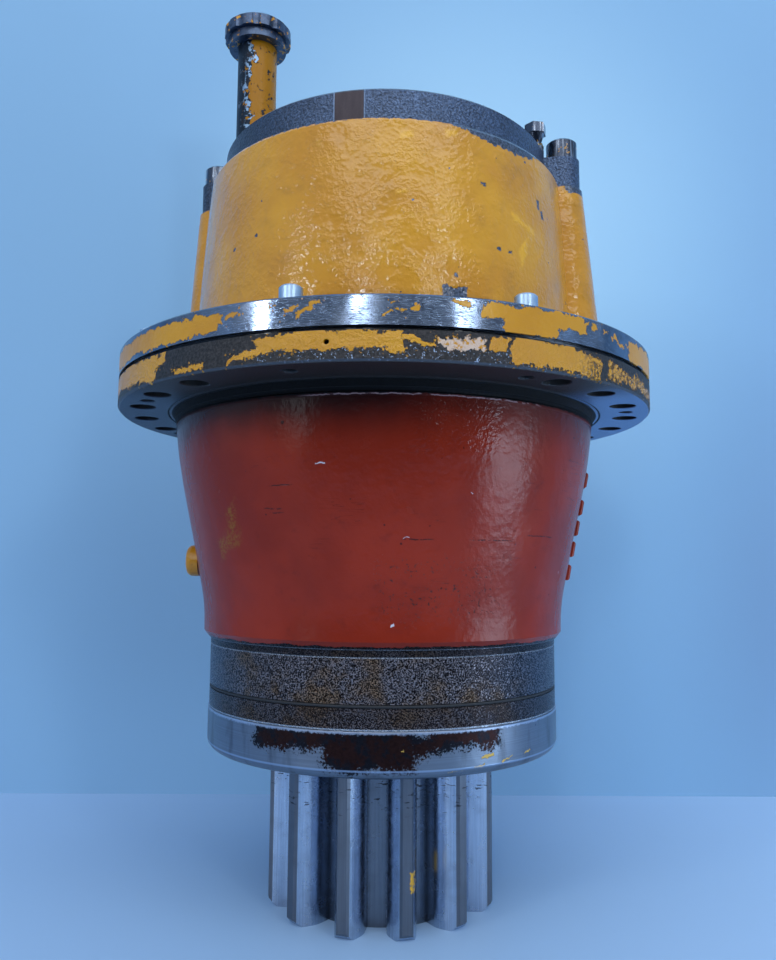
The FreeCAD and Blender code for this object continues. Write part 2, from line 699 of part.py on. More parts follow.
def brake_plates():
    plates = []
    for i in range(3):
        low = 105.4 + DISC_PITCH * i
        disc = ring(62, 107.5, low, low + DISC_THICK)
        tangs = [turned(box(16, 15.2, low, low + DISC_THICK, 108, 0), 60 * k) for k in range(TANGS)]
        plates.append(disc.fuse(tangs).removeSplitter())
    return Part.makeCompound(plates)


def friction_discs():
    discs = []
    for i in range(3):
        low = 102.2 + DISC_PITCH * i
        disc = cylinder(104, low, low + DISC_THICK)
        disc = disc.cut(splined(24, 46.0, 50.0, low - 1, low + 5, 0.2))
        grooves = [turned(box(40, 2, low + DISC_THICK - 0.4, low + 4, 84, 0), 30 * k) for k in range(12)]
        discs.append(cut_all(disc, grooves))
    return Part.makeCompound(discs)


def brake_piston():
    body = ring(62, 107.95, 121.5, 134)
    pockets = [cylinder(7.5, 128, 135, polar(SPRING_RING_R, 45 * i)) for i in range(SPRINGS)]
    groove = ring(105.4, 109, 126, 129.4)
    return cut_all(body, pockets + [groove])


def brake_springs():
    coil_r, wire_r, length = 5.4, 0.9, 16.0
    helix = Part.makeHelix(3.4, length, coil_r)
    circle = Part.makeCircle(wire_r, V(coil_r, 0, 0), V(0, 1, 0))
    coil = Part.Wire(helix.Edges).makePipeShell([Part.Wire(circle)], True, True)
    coils = []
    for i in range(SPRINGS):
        copy = coil.copy()
        copy.translate(polar(SPRING_RING_R, 45 * i, 129.0))
        coils.append(copy)
    return Part.makeCompound(coils)


# --------------------------------------------------------------------- motor

def gerotor_curve(radius_cut):
    """Inner rotor outline: the path of the ring's arc centres, moved inwards by the arc radius."""
    points = []
    count = 120
    n = GEROTOR_LOBES
    for i in range(count):
        t = 2 * math.pi * i / count
        x = GEROTOR_R * math.cos(t) + GEROTOR_OFFSET * math.cos(n * t)
        y = GEROTOR_R * math.sin(t) + GEROTOR_OFFSET * math.sin(n * t)
        dx = -GEROTOR_R * math.sin(t) - n * GEROTOR_OFFSET * math.sin(n * t)
        dy = GEROTOR_R * math.cos(t) + n * GEROTOR_OFFSET * math.cos(n * t)
        size = math.hypot(dx, dy)
        points.append(V(x - radius_cut * dy / size, y + radius_cut * dx / size, 0))
    curve = Part.BSplineCurve()
    curve.interpolate(points, PeriodicFlag=True)
    return outline_face([curve.toShape()])


def gerotor_inner():
    rotor = extrude(gerotor_curve(GEROTOR_ARC_R + 0.12), GEROTOR_LOW + 0.1, GEROTOR_HIGH - 0.1)
    rotor = rotor.cut(splined(8, 21.0, 24.0, GEROTOR_LOW - 1, GEROTOR_HIGH + 1, 0.15))
    return turned(rotor, 90)


def gerotor_outer():
    low, high = GEROTOR_LOW + 0.1, GEROTOR_HIGH - 0.1
    body = ring(GEROTOR_R + GEROTOR_OFFSET - GEROTOR_ARC_R + 4.3, GEROTOR_OUT_R, low, high)
    lobes = []
    for i in range(GEROTOR_LOBES):
        lobes.append(cylinder(GEROTOR_ARC_R, low, high, polar(GEROTOR_R, 360.0 / GEROTOR_LOBES * i)))
    body = body.fuse([lobe.common(cylinder(GEROTOR_R, low, high)) for lobe in lobes]).removeSplitter()
    body = turned(body, 90)
    body.translate(V(0, GEROTOR_OFFSET, 0))
    return body


def motor_body():
    body = cylinder(CARTRIDGE_R - 0.1, CAGE_HIGH, GEROTOR_HIGH)
    tools = [cylinder(GEROTOR_OUT_R + 0.06, GEROTOR_LOW, GEROTOR_HIGH + 1, V(0, GEROTOR_OFFSET, 0))]
    tools.append(cylinder(30.0, CAGE_HIGH - 1, GEROTOR_LOW + 1))
    for i in range(SPRINGS):
        tools.append(cylinder(7.5, CAGE_HIGH - 1, 146, polar(SPRING_RING_R, 45 * i)))
    tools.append(cylinder(4.0, CAGE_HIGH - 1, GEROTOR_HIGH + 1, DRAIN_AT))
    return cut_all(body, tools)


def port_plate():
    body = cylinder(CARTRIDGE_R - 0.1, GEROTOR_HIGH, CASING_TOP - 3.0)
    kidneys = []
    for side in (0, 180):
        arc = ring(36, 46, GEROTOR_HIGH - 1, CASING_TOP)
        wedge_points = [polar(0, 0), polar(90, -62), polar(130, 0), polar(90, 62), polar(0, 0)]
        wedge = Part.Face(Part.makePolygon(wedge_points)).extrude(V(0, 0, 12))
        wedge.translate(V(0, 0, GEROTOR_HIGH - 1))
        kidneys.append(turned(arc.common(wedge), side))
    kidneys.append(cylinder(22.0, GEROTOR_HIGH - 1, CASING_TOP))
    kidneys.append(cylinder(4.0, GEROTOR_HIGH - 1, CASING_TOP, DRAIN_AT))
    return cut_all(body, kidneys)


def shaft_bushes():
    lower = ring(25.0, 29.95, CAGE_HIGH, GEROTOR_LOW)
    upper = ring(18.0, 21.95, GEROTOR_HIGH, CASING_TOP - 3.0)
    return Part.makeCompound([lower, upper])


# --------------------------------------------------------- output and bearings

def output_pinion():
    face = gear_face(PINION_MODULE, PINION_TEETH, PINION_TIP_R, PINION_ROOT_R, -0.2,
                     PINION_PHASE - 90, PINION_SHIFT)
    teeth = extrude(face, PINION_BOTTOM, PINION_TOP)
    envelope = turn_profile(
        [(0, PINION_BOTTOM), (PINION_TIP_R - 5.2, PINION_BOTTOM), (PINION_TIP_R + 0.3, PINION_BOTTOM + 5.5),
         (PINION_TIP_R + 0.3, PINION_TOP - 2), (PINION_TIP_R - 1.7, PINION_TOP), (0, PINION_TOP)],
    )
    body = teeth.common(envelope)
    tools = [cylinder(50, PINION_BOTTOM - 1, PINION_SEAT), splined(18, 40.0, 44.0, -360, -250, 0.15)]
    return cut_all(body, tools)


def output_shaft():
    shaft = turn_profile(
        [(0, PINION_TOP - 2), (39.9, PINION_TOP - 2), (39.9, PINION_TOP), (72, PINION_TOP), (72, -236),
         (65, -236), (65, -186), (63, -184), (63, -124), (60, -124), (60, -74), (0, -74)],
    )
    splines = [splined(20, 46.0, 50.0, -75, -41), splined(18, 40.0, 44.0, PINION_SEAT, PINION_TOP)]
    body = shaft.fuse(splines).removeSplitter()
    taps = [cylinder(6.0, PINION_SEAT - 1, PINION_SEAT + 26, polar(26, 120 * i + 30)) for i in range(3)]
    taps += [cylinder(4.0, -60, -40, polar(28, 120 * i + 30)) for i in range(3)]
    return cut_all(body, taps)


def pinion_plate():
    disc = cylinder(49, PINION_SEAT - 8, PINION_SEAT)
    return cut_all(disc, [cylinder(6.2, -400, -300, polar(26, 120 * i + 30)) for i in range(3)])


def pinion_screws():
    screws = []
    low = PINION_SEAT - 8
    for i in range(3):
        centre = polar(26, 120 * i + 30)
        body = cylinder(5.95, low, PINION_SEAT + 24, centre)
        head = cylinder(9.0, low - 6.5, low, centre)
        screws.append(body.fuse(head).cut(hex_prism(10.0, low - 8, low - 2.5, centre)))
    return Part.makeCompound(screws)


def end_plate():
    disc = cylinder(44, -41, -36)
    return cut_all(disc, [cylinder(4, -42, -35, polar(28, 120 * i + 30)) for i in range(3)])


def end_plate_screws():
    screws = []
    for i in range(3):
        centre = polar(28, 120 * i + 30)
        screws.append(cylinder(3.9, -40.9, -36, centre).fuse(cylinder(6.5, -36, -33.2, centre)))
    return Part.makeCompound(screws)


def roller_bearing(in_r, out_r, low, high, roller_r, count, tilt, apex_up):
    """Taper roller bearing: inner ring, caged rollers and outer ring about the Z axis."""
    mid = (low + high) / 2
    mean = (in_r + out_r) / 2
    width = high - low
    slant = mean / math.sin(math.radians(tilt))
    half = math.atan(roller_r / slant)
    length = width * 0.62
    inner_a = math.radians(tilt) - half
    outer_a = math.radians(tilt) + half
    apex = mid + slant * math.cos(math.radians(tilt))

    def race(angle, z, gap):
        return (apex - z) * math.tan(angle) + gap

    big = mid - length / 2 - 3.2
    small = mid + length / 2 + 1.2
    inner = turn_profile(
        [(in_r, low), (race(inner_a, low, 5.5), low), (race(inner_a, big, 5.5), big),
         (race(inner_a, big, -0.3), big), (race(inner_a, small, -0.3), small),
         (race(inner_a, small, 2.5), small), (race(inner_a, high - 1, 2.5), high - 1), (in_r, high - 1)],
    )
    outer = turn_profile(
        [(out_r, low + 3), (race(outer_a, low + 3, 0.3), low + 3), (race(outer_a, high, 0.3), high),
         (out_r, high)],
    )
    rollers = []
    along = V(-math.sin(math.radians(tilt)), 0, math.cos(math.radians(tilt)))
    middle = V(mean, 0, mid)
    start_r = roller_r * (slant + length / 2) / slant
    end_r = roller_r * (slant - length / 2) / slant
    roller = Part.makeCone(start_r, end_r, length, middle - along * (length / 2), along)
    for i in range(count):
        rollers.append(turned(roller, 360.0 * i / count))
    sleeve = turn_profile(
        [(mean + 0.9 + math.tan(math.radians(tilt)) * (mid - z), z) for z in (big + 4, small - 2)]
        + [(mean - 0.9 + math.tan(math.radians(tilt)) * (mid - z), z) for z in (small - 2, big + 4)],
    )
    cage = sleeve.fuse(rollers)
    shapes = [inner, cage, outer]
    if not apex_up:
        for shape in shapes:
            shape.rotate(V(0, 0, mid), V(1, 0, 0), 180)
    return shapes


LOWER_BEARING = roller_bearing(65.0, 115.0, -230.0, -190.0, 10.5, 22, 14.0, False)
UPPER_BEARING = roller_bearing(60.0, 105.0, -114.0, -74.0, 9.0, 22, 14.0, True)


os.makedirs("parts", exist_ok=True)
nodes = {
    "lower_flange": lower_flange(),
    "lower_housing": lower_housing(),
    "upper_flange": upper_flange(),
    "upper_housing": upper_housing(),
    "flange_screws": flange_screws(),
    "nose_ring": nose_ring(),
    "nose_screws": nose_screws(),
    "spigot_seal": spigot_seal(),
    "shaft_seal": shaft_seal(),
    "side_plug": side_plug(),
    "motor_cover": motor_cover(),
    "cover_screws": cover_screws(),
    "hex_plug": hex_plug(),
    "plug_washer": plug_washer(),
    "port_block": port_block(),
    "block_screws": block_screws(),
    "filler_tube": filler_tube(),
    "filler_collar": filler_collar(),
    "filler_cap": filler_cap(),
    "dipstick": dipstick(),
    "ring_gear_1": ring_gear(STAGE_1, CASING_BORE_R - 0.1, 46.5, 93.9),
    "ring_gear_2": ring_gear(STAGE_2, REGISTER_R - 0.1, -37.9, 14.2),
    "ring_clip": ring(CASING_BORE_R - 3, CLIP_GROOVE_R - 0.2, 43.6, 46.2),
    "sun_2": sun_2(),
    "carrier_1": carrier_1(),
    "planet_pins_1": carrier_pins(STAGE_1, PIN_1_R, PIN_1_R - 2, 30, 44, 90.5),
    "pin_rings_1": pin_rings(STAGE_1, PIN_1_R, 86.5),
    "carrier_2": carrier_2(),
    "planet_pins_2": carrier_pins(STAGE_2, PIN_2_R, PIN_2_R - 2, -62, -40, 22),
    "output_pinion": output_pinion(),
    "output_shaft": output_shaft(),
    "pinion_plate": pinion_plate(),
    "pinion_screws": pinion_screws(),
    "end_plate": end_plate(),
    "end_plate_screws": end_plate_screws(),
    "motor_shaft": motor_shaft(),
    "brake_hub": brake_hub(),
    "friction_discs": friction_discs(),
    "brake_cage": brake_cage(),
    "brake_plates": brake_plates(),
    "brake_piston": brake_piston(),
    "brake_springs": brake_springs(),
    "gerotor_inner": gerotor_inner(),
    "gerotor_outer": gerotor_outer(),
    "motor_body": motor_body(),
    "port_plate": port_plate(),
    "shaft_bushes": shaft_bushes(),
    "lower_bearing_cone": LOWER_BEARING[0],
    "lower_bearing_rollers": LOWER_BEARING[1],
    "lower_bearing_cup": LOWER_BEARING[2],
    "upper_bearing_cone": UPPER_BEARING[0],
    "upper_bearing_rollers": UPPER_BEARING[1],
    "upper_bearing_cup": UPPER_BEARING[2],
}
for letter, angle in zip("abc", PLANET_ANGLES):
    nodes["planet_1" + letter] = planet(STAGE_1, angle, PIN_1_R)
    nodes["planet_2" + letter] = planet(STAGE_2, angle, PIN_2_R)
for name, shape in nodes.items():
    shape.exportStep("parts/" + name + ".step")
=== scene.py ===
import json
import math

import bpy
from mathutils import Matrix, Vector


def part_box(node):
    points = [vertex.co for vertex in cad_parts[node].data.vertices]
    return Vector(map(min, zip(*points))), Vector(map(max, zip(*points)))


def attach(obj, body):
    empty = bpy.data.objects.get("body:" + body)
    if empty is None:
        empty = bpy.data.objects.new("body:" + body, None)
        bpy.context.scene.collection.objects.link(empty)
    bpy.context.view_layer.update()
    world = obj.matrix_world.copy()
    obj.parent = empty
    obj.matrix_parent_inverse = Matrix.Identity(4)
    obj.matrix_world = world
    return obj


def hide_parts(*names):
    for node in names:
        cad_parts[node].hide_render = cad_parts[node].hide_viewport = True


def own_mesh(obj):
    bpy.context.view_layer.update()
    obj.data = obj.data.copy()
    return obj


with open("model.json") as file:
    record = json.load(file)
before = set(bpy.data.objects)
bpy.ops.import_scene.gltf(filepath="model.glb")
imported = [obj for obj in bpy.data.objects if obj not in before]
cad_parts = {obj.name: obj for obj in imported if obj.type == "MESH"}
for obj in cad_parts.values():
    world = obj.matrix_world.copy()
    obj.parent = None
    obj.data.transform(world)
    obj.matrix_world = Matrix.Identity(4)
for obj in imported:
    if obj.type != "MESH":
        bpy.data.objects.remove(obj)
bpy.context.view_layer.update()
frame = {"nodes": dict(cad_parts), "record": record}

MM = 0.001
DEGREES = 57.29578
# Millimetres per degree round the flange rim, the yellow casing, a wider foot of a casting, the cover and
# the nose.
ARC_FLANGE = 3.58
ARC_CASING = 2.5
ARC_FOOT = 2.6
ARC_COVER = 2.3
ARC_NOSE = 2.32
FLOOR_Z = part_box("output_pinion")[0].z


def rgb(red, green, blue):
    """A colour given as 0-255 screen values, as linear RGBA."""
    linear = []
    for value in (red, green, blue):
        v = value / 255
        linear.append(v / 12.92 if v <= 0.04045 else ((v + 0.055) / 1.055) ** 2.4)
    return (*linear, 1.0)


class Value:
    """A node output that can be added, multiplied and compared like a number."""

    def __init__(self, shader, socket):
        self.shader = shader
        self.socket = socket

    def __add__(self, other):
        return self.shader.math("ADD", self, other)

    def __sub__(self, other):
        return self.shader.math("SUBTRACT", self, other)

    def __mul__(self, other):
        return self.shader.math("MULTIPLY", self, other)

    def __rsub__(self, other):
        return self.shader.math("SUBTRACT", other, self)

    __radd__ = __add__
    __rmul__ = __mul__


class Shader:
    """One procedural material, built from expressions over the drive's own coordinates in millimetres."""

    def __init__(self, name):
        self.material = bpy.data.materials.new(name)
        self.material.use_nodes = True
        self.tree = self.material.node_tree
        self.tree.nodes.clear()
        self.bsdf = self.tree.nodes.new("ShaderNodeBsdfPrincipled")
        output = self.tree.nodes.new("ShaderNodeOutputMaterial")
        self.tree.links.new(self.bsdf.outputs["BSDF"], output.inputs["Surface"])
        coords = self.tree.nodes.new("ShaderNodeTexCoord")
        scaled = self.tree.nodes.new("ShaderNodeVectorMath")
        scaled.operation = "SCALE"
        scaled.inputs["Scale"].default_value = 1000.0
        self.tree.links.new(coords.outputs["Object"], scaled.inputs[0])
        self.place = scaled.outputs["Vector"]
        split = self.tree.nodes.new("ShaderNodeSeparateXYZ")
        self.tree.links.new(self.place, split.inputs[0])
        self.x, self.y, self.z = (Value(self, split.outputs[i]) for i in range(3))
        self.bearing = self.math("ARCTAN2", self.x, self.y * -1.0) * DEGREES
        self.height = None
        self.around = self.bearing
        self.level = self.z

    def wander(self, amount=1.0):
        """From here on, patches are laid out over coordinates that drift, so that no edge runs straight."""
        big = self.noise(19, 2, shift=51) - 0.5
        small = self.noise(6.0, 3, 0.6, shift=57) - 0.5
        self.around = self.bearing + big * (4.6 * amount) + small * (2.4 * amount)
        big = self.noise(16, 2, shift=71) - 0.5
        small = self.noise(5.0, 3, 0.6, shift=77) - 0.5
        self.level = self.z + big * (8.0 * amount) + small * (5.0 * amount)

    def put(self, socket, value):
        """Links a value to a socket, or sets a constant on it."""
        if isinstance(value, Value):
            value = value.socket
        if isinstance(value, bpy.types.NodeSocket):
            self.tree.links.new(value, socket)
        else:
            socket.default_value = value

    def math(self, operation, *values):
        """One math node over numbers and values."""
        node = self.tree.nodes.new("ShaderNodeMath")
        node.operation = operation
        for socket, value in zip(node.inputs, values):
            self.put(socket, value)
        return Value(self, node.outputs[0])

    def least(self, *values):
        """The smallest of several values."""
        result = values[0]
        for value in values[1:]:
            result = self.math("MINIMUM", result, value)
        return result

    def most(self, *values):
        """The largest of several values."""
        result = values[0]
        for value in values[1:]:
            result = self.math("MAXIMUM", result, value)
        return result

    def power(self, value, exponent):
        """Value to a power."""
        return self.math("POWER", value, exponent)

    def absolute(self, value):
        """Value without its sign."""
        return self.math("ABSOLUTE", value)

    def step(self, value, low, high):
        """Goes smoothly from 0 to 1 as value goes from low to high, which may be the lower number."""
        node = self.tree.nodes.new("ShaderNodeMapRange")
        node.interpolation_type = "SMOOTHSTEP"
        out_low, out_high = 0.0, 1.0
        if low > high:
            low, high, out_low, out_high = high, low, out_high, out_low
        for key, number in (("From Min", low), ("From Max", high), ("To Min", out_low), ("To Max", out_high)):
            node.inputs[key].default_value = number
        self.put(node.inputs["Value"], value)
        return Value(self, node.outputs["Result"])

    def beyond(self, low, high):
        """Goes from 0 to 1 as the distance from the drive's axis goes from low to high, in mm."""
        return self.step(self.x * self.x + self.y * self.y, low ** 2, high ** 2)

    def vector(self, x, y, z):
        """Three values as one vector."""
        node = self.tree.nodes.new("ShaderNodeCombineXYZ")
        for socket, value in zip(node.inputs, (x, y, z)):
            self.put(socket, value)
        return node.outputs[0]

    def stretched(self, x, y, z):
        """The place vector, with each axis scaled."""
        node = self.tree.nodes.new("ShaderNodeVectorMath")
        node.operation = "MULTIPLY"
        self.put(node.inputs[0], self.place)
        node.inputs[1].default_value = (x, y, z)
        return node.outputs["Vector"]

    def wrapped(self, across, down):
        """Bearing and height as a flat vector, for marks that run round the drive (per degree, per mm)."""
        return self.vector(self.bearing * across, self.z * down, 0.0)

    def noise(self, size, detail=3.0, rough=0.55, where=None, shift=0.0, twist=0.0):
        """Fractal noise from 0 to 1, with blobs about size mm across."""
        node = self.tree.nodes.new("ShaderNodeTexNoise")
        node.noise_dimensions = "3D"
        vector = where or self.place
        if shift:
            moved = self.tree.nodes.new("ShaderNodeVectorMath")
            self.put(moved.inputs[0], vector)
            moved.inputs[1].default_value = (shift, shift * 1.7, shift * 0.6)
            vector = moved.outputs["Vector"]
        self.put(node.inputs["Vector"], vector)
        node.inputs["Scale"].default_value = 1.0 / size
        node.inputs["Detail"].default_value = detail
        node.inputs["Roughness"].default_value = rough
        node.inputs["Distortion"].default_value = twist
        return Value(self, node.outputs["Fac"])

    def cells(self, size):
        """Distance to the nearest of scattered points, about size mm apart."""
        node = self.tree.nodes.new("ShaderNodeTexVoronoi")
        self.put(node.inputs["Vector"], self.place)
        node.inputs["Scale"].default_value = 1.0 / size
        return Value(self, node.outputs["Distance"])

    def specks(self, size, share, smallest=0.04, largest=0.12):
        """1 inside scattered specks, a share of the cells, 0 elsewhere; radii are shares of the cell size."""
        node = self.tree.nodes.new("ShaderNodeTexVoronoi")
        self.put(node.inputs["Vector"], self.place)
        node.inputs["Scale"].default_value = 1.0 / size
        split = self.tree.nodes.new("ShaderNodeSeparateColor")
        self.put(split.inputs[0], node.outputs["Color"])
        chosen = self.math("LESS_THAN", Value(self, split.outputs[0]), share)
        small = Value(self, split.outputs[1]) * (largest - smallest) + smallest
        uneven = Value(self, node.outputs["Distance"]) + (self.noise(size * 0.12, 2) - 0.5) * largest
        near = self.math("LESS_THAN", uneven, small)
        return chosen * near

    def mix(self, factor, first, second):
        """The first colour, going to the second as factor goes from 0 to 1."""
        node = self.tree.nodes.new("ShaderNodeMix")
        node.data_type = "RGBA"
        self.put(node.inputs["Factor"], factor)
        self.put(node.inputs[6], first)
        self.put(node.inputs[7], second)
        return node.outputs[2]

    def blend(self, factor, first, second):
        """The number first, going to second as factor goes from 0 to 1."""
        if isinstance(first, Value) or isinstance(second, Value):
            return first + factor * (second - first)
        return factor * (second - first) + first

    def patch(self, bearing, width, z, tall, mm_per_degree=ARC_FLANGE):
        """How far inside a box of paint a point is, in mm: bearing and width in degrees, z and tall in mm."""
        across = width * mm_per_degree / 2 - self.absolute(self.around - bearing) * mm_per_degree
        down = tall / 2 - self.absolute(self.level - z)
        return self.least(across, down)

    def slanted(self, bearing, width, z_left, z_right, tall, mm_per_degree=ARC_FLANGE):
        """A patch whose middle runs from z_left to z_right over its width."""
        middle = (self.around - bearing) * ((z_right - z_left) / width) + (z_left + z_right) / 2
        across = width * mm_per_degree / 2 - self.absolute(self.around - bearing) * mm_per_degree
        return self.least(across, tall / 2 - self.absolute(self.level - middle))

    def bump(self, height, depth):
        """Raises the surface by height (0 to 1) times depth in mm, over any bumps made before."""
        node = self.tree.nodes.new("ShaderNodeBump")
        node.inputs["Strength"].default_value = 1.0
        node.inputs["Distance"].default_value = depth * MM
        self.put(node.inputs["Height"], height)
        if self.height is not None:
            self.tree.links.new(self.height, node.inputs["Normal"])
        self.height = node.outputs["Normal"]

    def finish(self, color, rough, metal=0.0, **fixed):
        """Sets the surface; extra names are constant sockets of the shader."""
        self.put(self.bsdf.inputs["Base Color"], color)
        self.put(self.bsdf.inputs["Roughness"], rough)
        self.put(self.bsdf.inputs["Metallic"], metal)
        for key, number in fixed.items():
            self.bsdf.inputs[key.replace("_", " ")].default_value = number
        if self.height is not None:
            self.tree.links.new(self.height, self.bsdf.inputs["Normal"])
            self.tree.links.new(self.height, self.bsdf.inputs["Coat Normal"])
        return self.material


YELLOW = rgb(212, 147, 14)
YELLOW_DEEP = rgb(198, 132, 12)
YELLOW_PALE = rgb(214, 160, 52)


def yellow_paint(s):
    """Colour of the thick yellow coat, with its slow changes of tone."""
    tone = s.mix(s.step(s.noise(55, 3), 0.35, 0.68), YELLOW_DEEP, YELLOW)
    return s.mix(s.step(s.noise(9, 4, shift=31), 0.6, 0.85) * 0.5, tone, YELLOW_PALE)


def ragged(s, fine=1.0):
    """A signed wobble in mm that makes paint edges flake raggedly."""
    coarse = (s.noise(26, 2, shift=7) - 0.5) * 15.0
    middle = (s.noise(7.5, 3, shift=13) - 0.5) * 9.0
    small = (s.noise(2.1, 3, 0.7, shift=3) - 0.5) * 4.5 * fine
    return coarse + middle + small


def make_yellow_casting():
    s = Shader("yellow_casting")
    s.wander(0.55)
    wobble = ragged(s)
    worn = s.step(s.bearing, 20, 33) * s.step(s.bearing, 58, 44)
    nibbled = (s.noise(4.5, 4, 0.65, shift=67) - 0.5) * 8.0
    nick = (s.noise(3.4, 4, 0.75, shift=81) - 0.5) * 14.0
    top = s.z - 180.6 + worn * (3.0 + s.noise(5.0, 3, 0.6, shift=61) * 9.0) + wobble * 0.12 + nibbled
    spots = s.most(
        top,
        s.patch(20.2, 6.6, 61.5, 8.0, ARC_FOOT) + nick * 0.6,
        s.patch(20.3, 1.4, 74.0, 3.0, ARC_FOOT) + nick * 0.35 - 0.3,
        s.patch(29.2, 1.8, 141.0, 3.2, ARC_CASING) + nick * 0.45 - 0.4,
        s.patch(51.6, 1.2, 142.0, 8.0, ARC_CASING) + nick * 0.3 - 0.3,
        s.patch(53.2, 1.4, 136.0, 6.0, ARC_CASING) + nick * 0.3 - 0.3,
        s.patch(33.6, 1.8, 97.0, 2.4, ARC_CASING) + nick * 0.35 - 0.4,
        s.patch(37.6, 1.5, 97.0, 2.4, ARC_CASING) + nick * 0.35 - 0.4,
        s.patch(-78, 3.0, 150.0, 26.0, ARC_CASING) + wobble * 0.3,
        s.patch(-70, 2.0, 172.0, 20.0, ARC_CASING) + wobble * 0.35,
        s.patch(80, 12.0, 178.0, 9.0, ARC_CASING) + wobble * 0.35,
    )
    chips = s.step(spots, -0.15, 0.25)
    pins = s.most(s.specks(17, 0.3), s.specks(8, 0.06))
    chips = s.most(chips, pins)
    smear = s.step(
        s.most(
            s.slanted(43.5, 9.0, 124.0, 118.0, 6.0, ARC_CASING) + wobble * 0.55,
            s.slanted(43.0, 3.0, 96.0, 106.0, 12.0, ARC_CASING) + wobble * 0.4,
            s.slanted(20.5, 4.0, 172.0, 174.0, 5.0, ARC_CASING) + wobble * 0.4,
            s.slanted(7.5, 3.0, 168.0, 170.0, 4.0, ARC_CASING) + wobble * 0.4,
            s.slanted(6.5, 3.0, 127.0, 129.0, 3.0, ARC_CASING) + wobble * 0.4,
        ), -1.5, 2.0)
    dirt = s.step(s.noise(30, 4, 0.65, shift=19), 0.52, 0.78) * 0.35
    paint = s.mix(dirt, yellow_paint(s), rgb(150, 100, 24))
    paint = s.mix(smear * 0.55, paint, rgb(240, 176, 20))
    # The casing is painted darker below about 60 mm, towards the flange.
    darker_below = s.step(s.z, 63.0, 57.5) * 0.3
    paint = s.mix(darker_below, paint, rgb(120, 78, 20))
    iron = s.mix(s.step(s.noise(1.7, 4, 0.6), 0.35, 0.65), rgb(40, 48, 62), rgb(82, 94, 116))
    ring = s.step(spots, -0.9, -0.15) * 0.35
    paint = s.mix(ring, paint, rgb(120, 84, 30))
    color = s.mix(chips, paint, iron)
    lumpy = s.step(s.noise(21, 3, 0.6, shift=37), 0.36, 0.6)
    s.bump(s.noise(11, 2), 0.5)
    s.bump(s.noise(3.6, 2, 0.5), 0.22)
    s.bump(s.noise(2.6, 2, 0.5) * lumpy, 0.62)
    s.bump(1.0 - chips, 0.22)
    s.bump(smear, 0.1)
    rough = s.blend(chips, s.noise(18, 3) * 0.14 + 0.3, 0.42)
    return s.finish(color, rough, chips * 0.5, Specular_IOR_Level=0.16, Coat_Weight=0.9, Coat_Roughness=0.03)


def make_flange_machined():
    """Turned rim of the upper flange: bare steel with what is left of the yellow coat."""
    s = Shader("flange_machined")
    s.wander(0.9)
    wobble = ragged(s)
    boxes = s.most(
        s.patch(-55, 56, 29.2, 12.5), s.slanted(-29.5, 7, 32, 31, 8.0), s.slanted(-23.8, 2.4, 31, 33, 2.2),
        s.slanted(-13.0, 3.6, 29.5, 33.5, 2.6), s.slanted(-10.4, 2.8, 27.5, 31.5, 3.0),
        s.slanted(-15.6, 1.8, 34.0, 35.5, 1.8), s.slanted(-8.6, 1.6, 33.0, 34.5, 1.6),
        s.slanted(3.6, 3.0, 27.0, 30.0, 2.4), s.slanted(6.4, 3.2, 29.0, 32.5, 3.0),
        s.slanted(5.0, 1.8, 33.5, 35, 1.6),
        s.slanted(14.5, 3.0, 37.0, 35.0, 2.0),
        s.patch(22.0, 6.5, 33.0, 10.0), s.patch(27.6, 11.0, 29.0, 17.5), s.patch(35.6, 9.5, 32.5, 10.5),
        s.patch(41.5, 1.1, 34.5, 3.0), s.patch(45.0, 1.4, 33.0, 3.4), s.patch(47.7, 1.0, 30.0, 2.4),
        s.slanted(50.5, 4.0, 33, 28, 3.4), s.patch(59.0, 11.0, 28.5, 14.0),
        s.patch(72, 18, 28, 16.5), s.patch(92, 16, 30, 14.0), s.patch(130, 44, 30, 14),
        s.patch(-150, 50, 29, 15), s.patch(-106, 34, 30, 16),
    )
    inside = boxes + wobble * 0.5 + (s.noise(1.8, 3, 0.7, shift=87) - 0.5) * 4.0
    crumbs = s.specks(2.6, 0.2, 0.1, 0.4) * s.step(inside, -5.0, -1.0)
    paint = s.most(s.step(inside, 0.0, 0.35), crumbs)
    on_rim = s.beyond(203.2, 203.9)
    top_face = s.step(s.z, 39.0, 39.3)
    paint = paint * on_rim
    lines = s.noise(1.0, 3, 0.6, where=s.wrapped(0.05, 2.2))
    sweep = s.noise(1.0, 3, 0.6, where=s.wrapped(0.16, 0.06), twist=1.0)
    stain = s.step(s.noise(24, 4, 0.65, shift=41), 0.42, 0.66)
    # The steel tones are tinted blue, a painted reflection of the blue room.
    steel = s.mix(sweep, rgb(92, 102, 118), rgb(142, 158, 182))
    steel = s.mix(stain * 0.45, steel, rgb(74, 80, 92))
    grime = s.step(s.noise(4.0, 4, 0.7, shift=5), 0.63, 0.72) * 0.7
    steel = s.mix(grime, steel, rgb(30, 32, 38))
    yellow = yellow_paint(s)
    color = s.mix(paint, steel, yellow)
    color = s.mix(top_face * s.step(s.noise(22, 4, shift=3), 0.42, 0.58), color, rgb(58, 60, 66))
    # Painted shade: the hole walls inside the flange are painted near black.
    painted_hole_shade = s.beyond(201.9, 201.7) * s.step(s.z, 39.0, 38.8)
    color = s.mix(painted_hole_shade, color, rgb(6, 6, 8))
    s.bump(lines, 0.012)
    s.bump(s.noise(4.5, 2) * paint, 0.35)
    s.bump(paint, 0.3)
    cuts = s.noise(1.0, 2, 0.5, where=s.vector(s.bearing * 0.5 + s.z * 0.11, s.z * 0.9, 0.0), shift=3)
    s.bump(s.step(s.absolute(cuts - 0.5), 0.03, 0.0), 0.03)
    rough = s.blend(paint, s.blend(stain, s.noise(6, 3) * 0.06 + 0.05, 0.2), 0.3)
    return s.finish(color, rough, s.blend(paint, 1.0, 0.0) * (1.0 - painted_hole_shade))


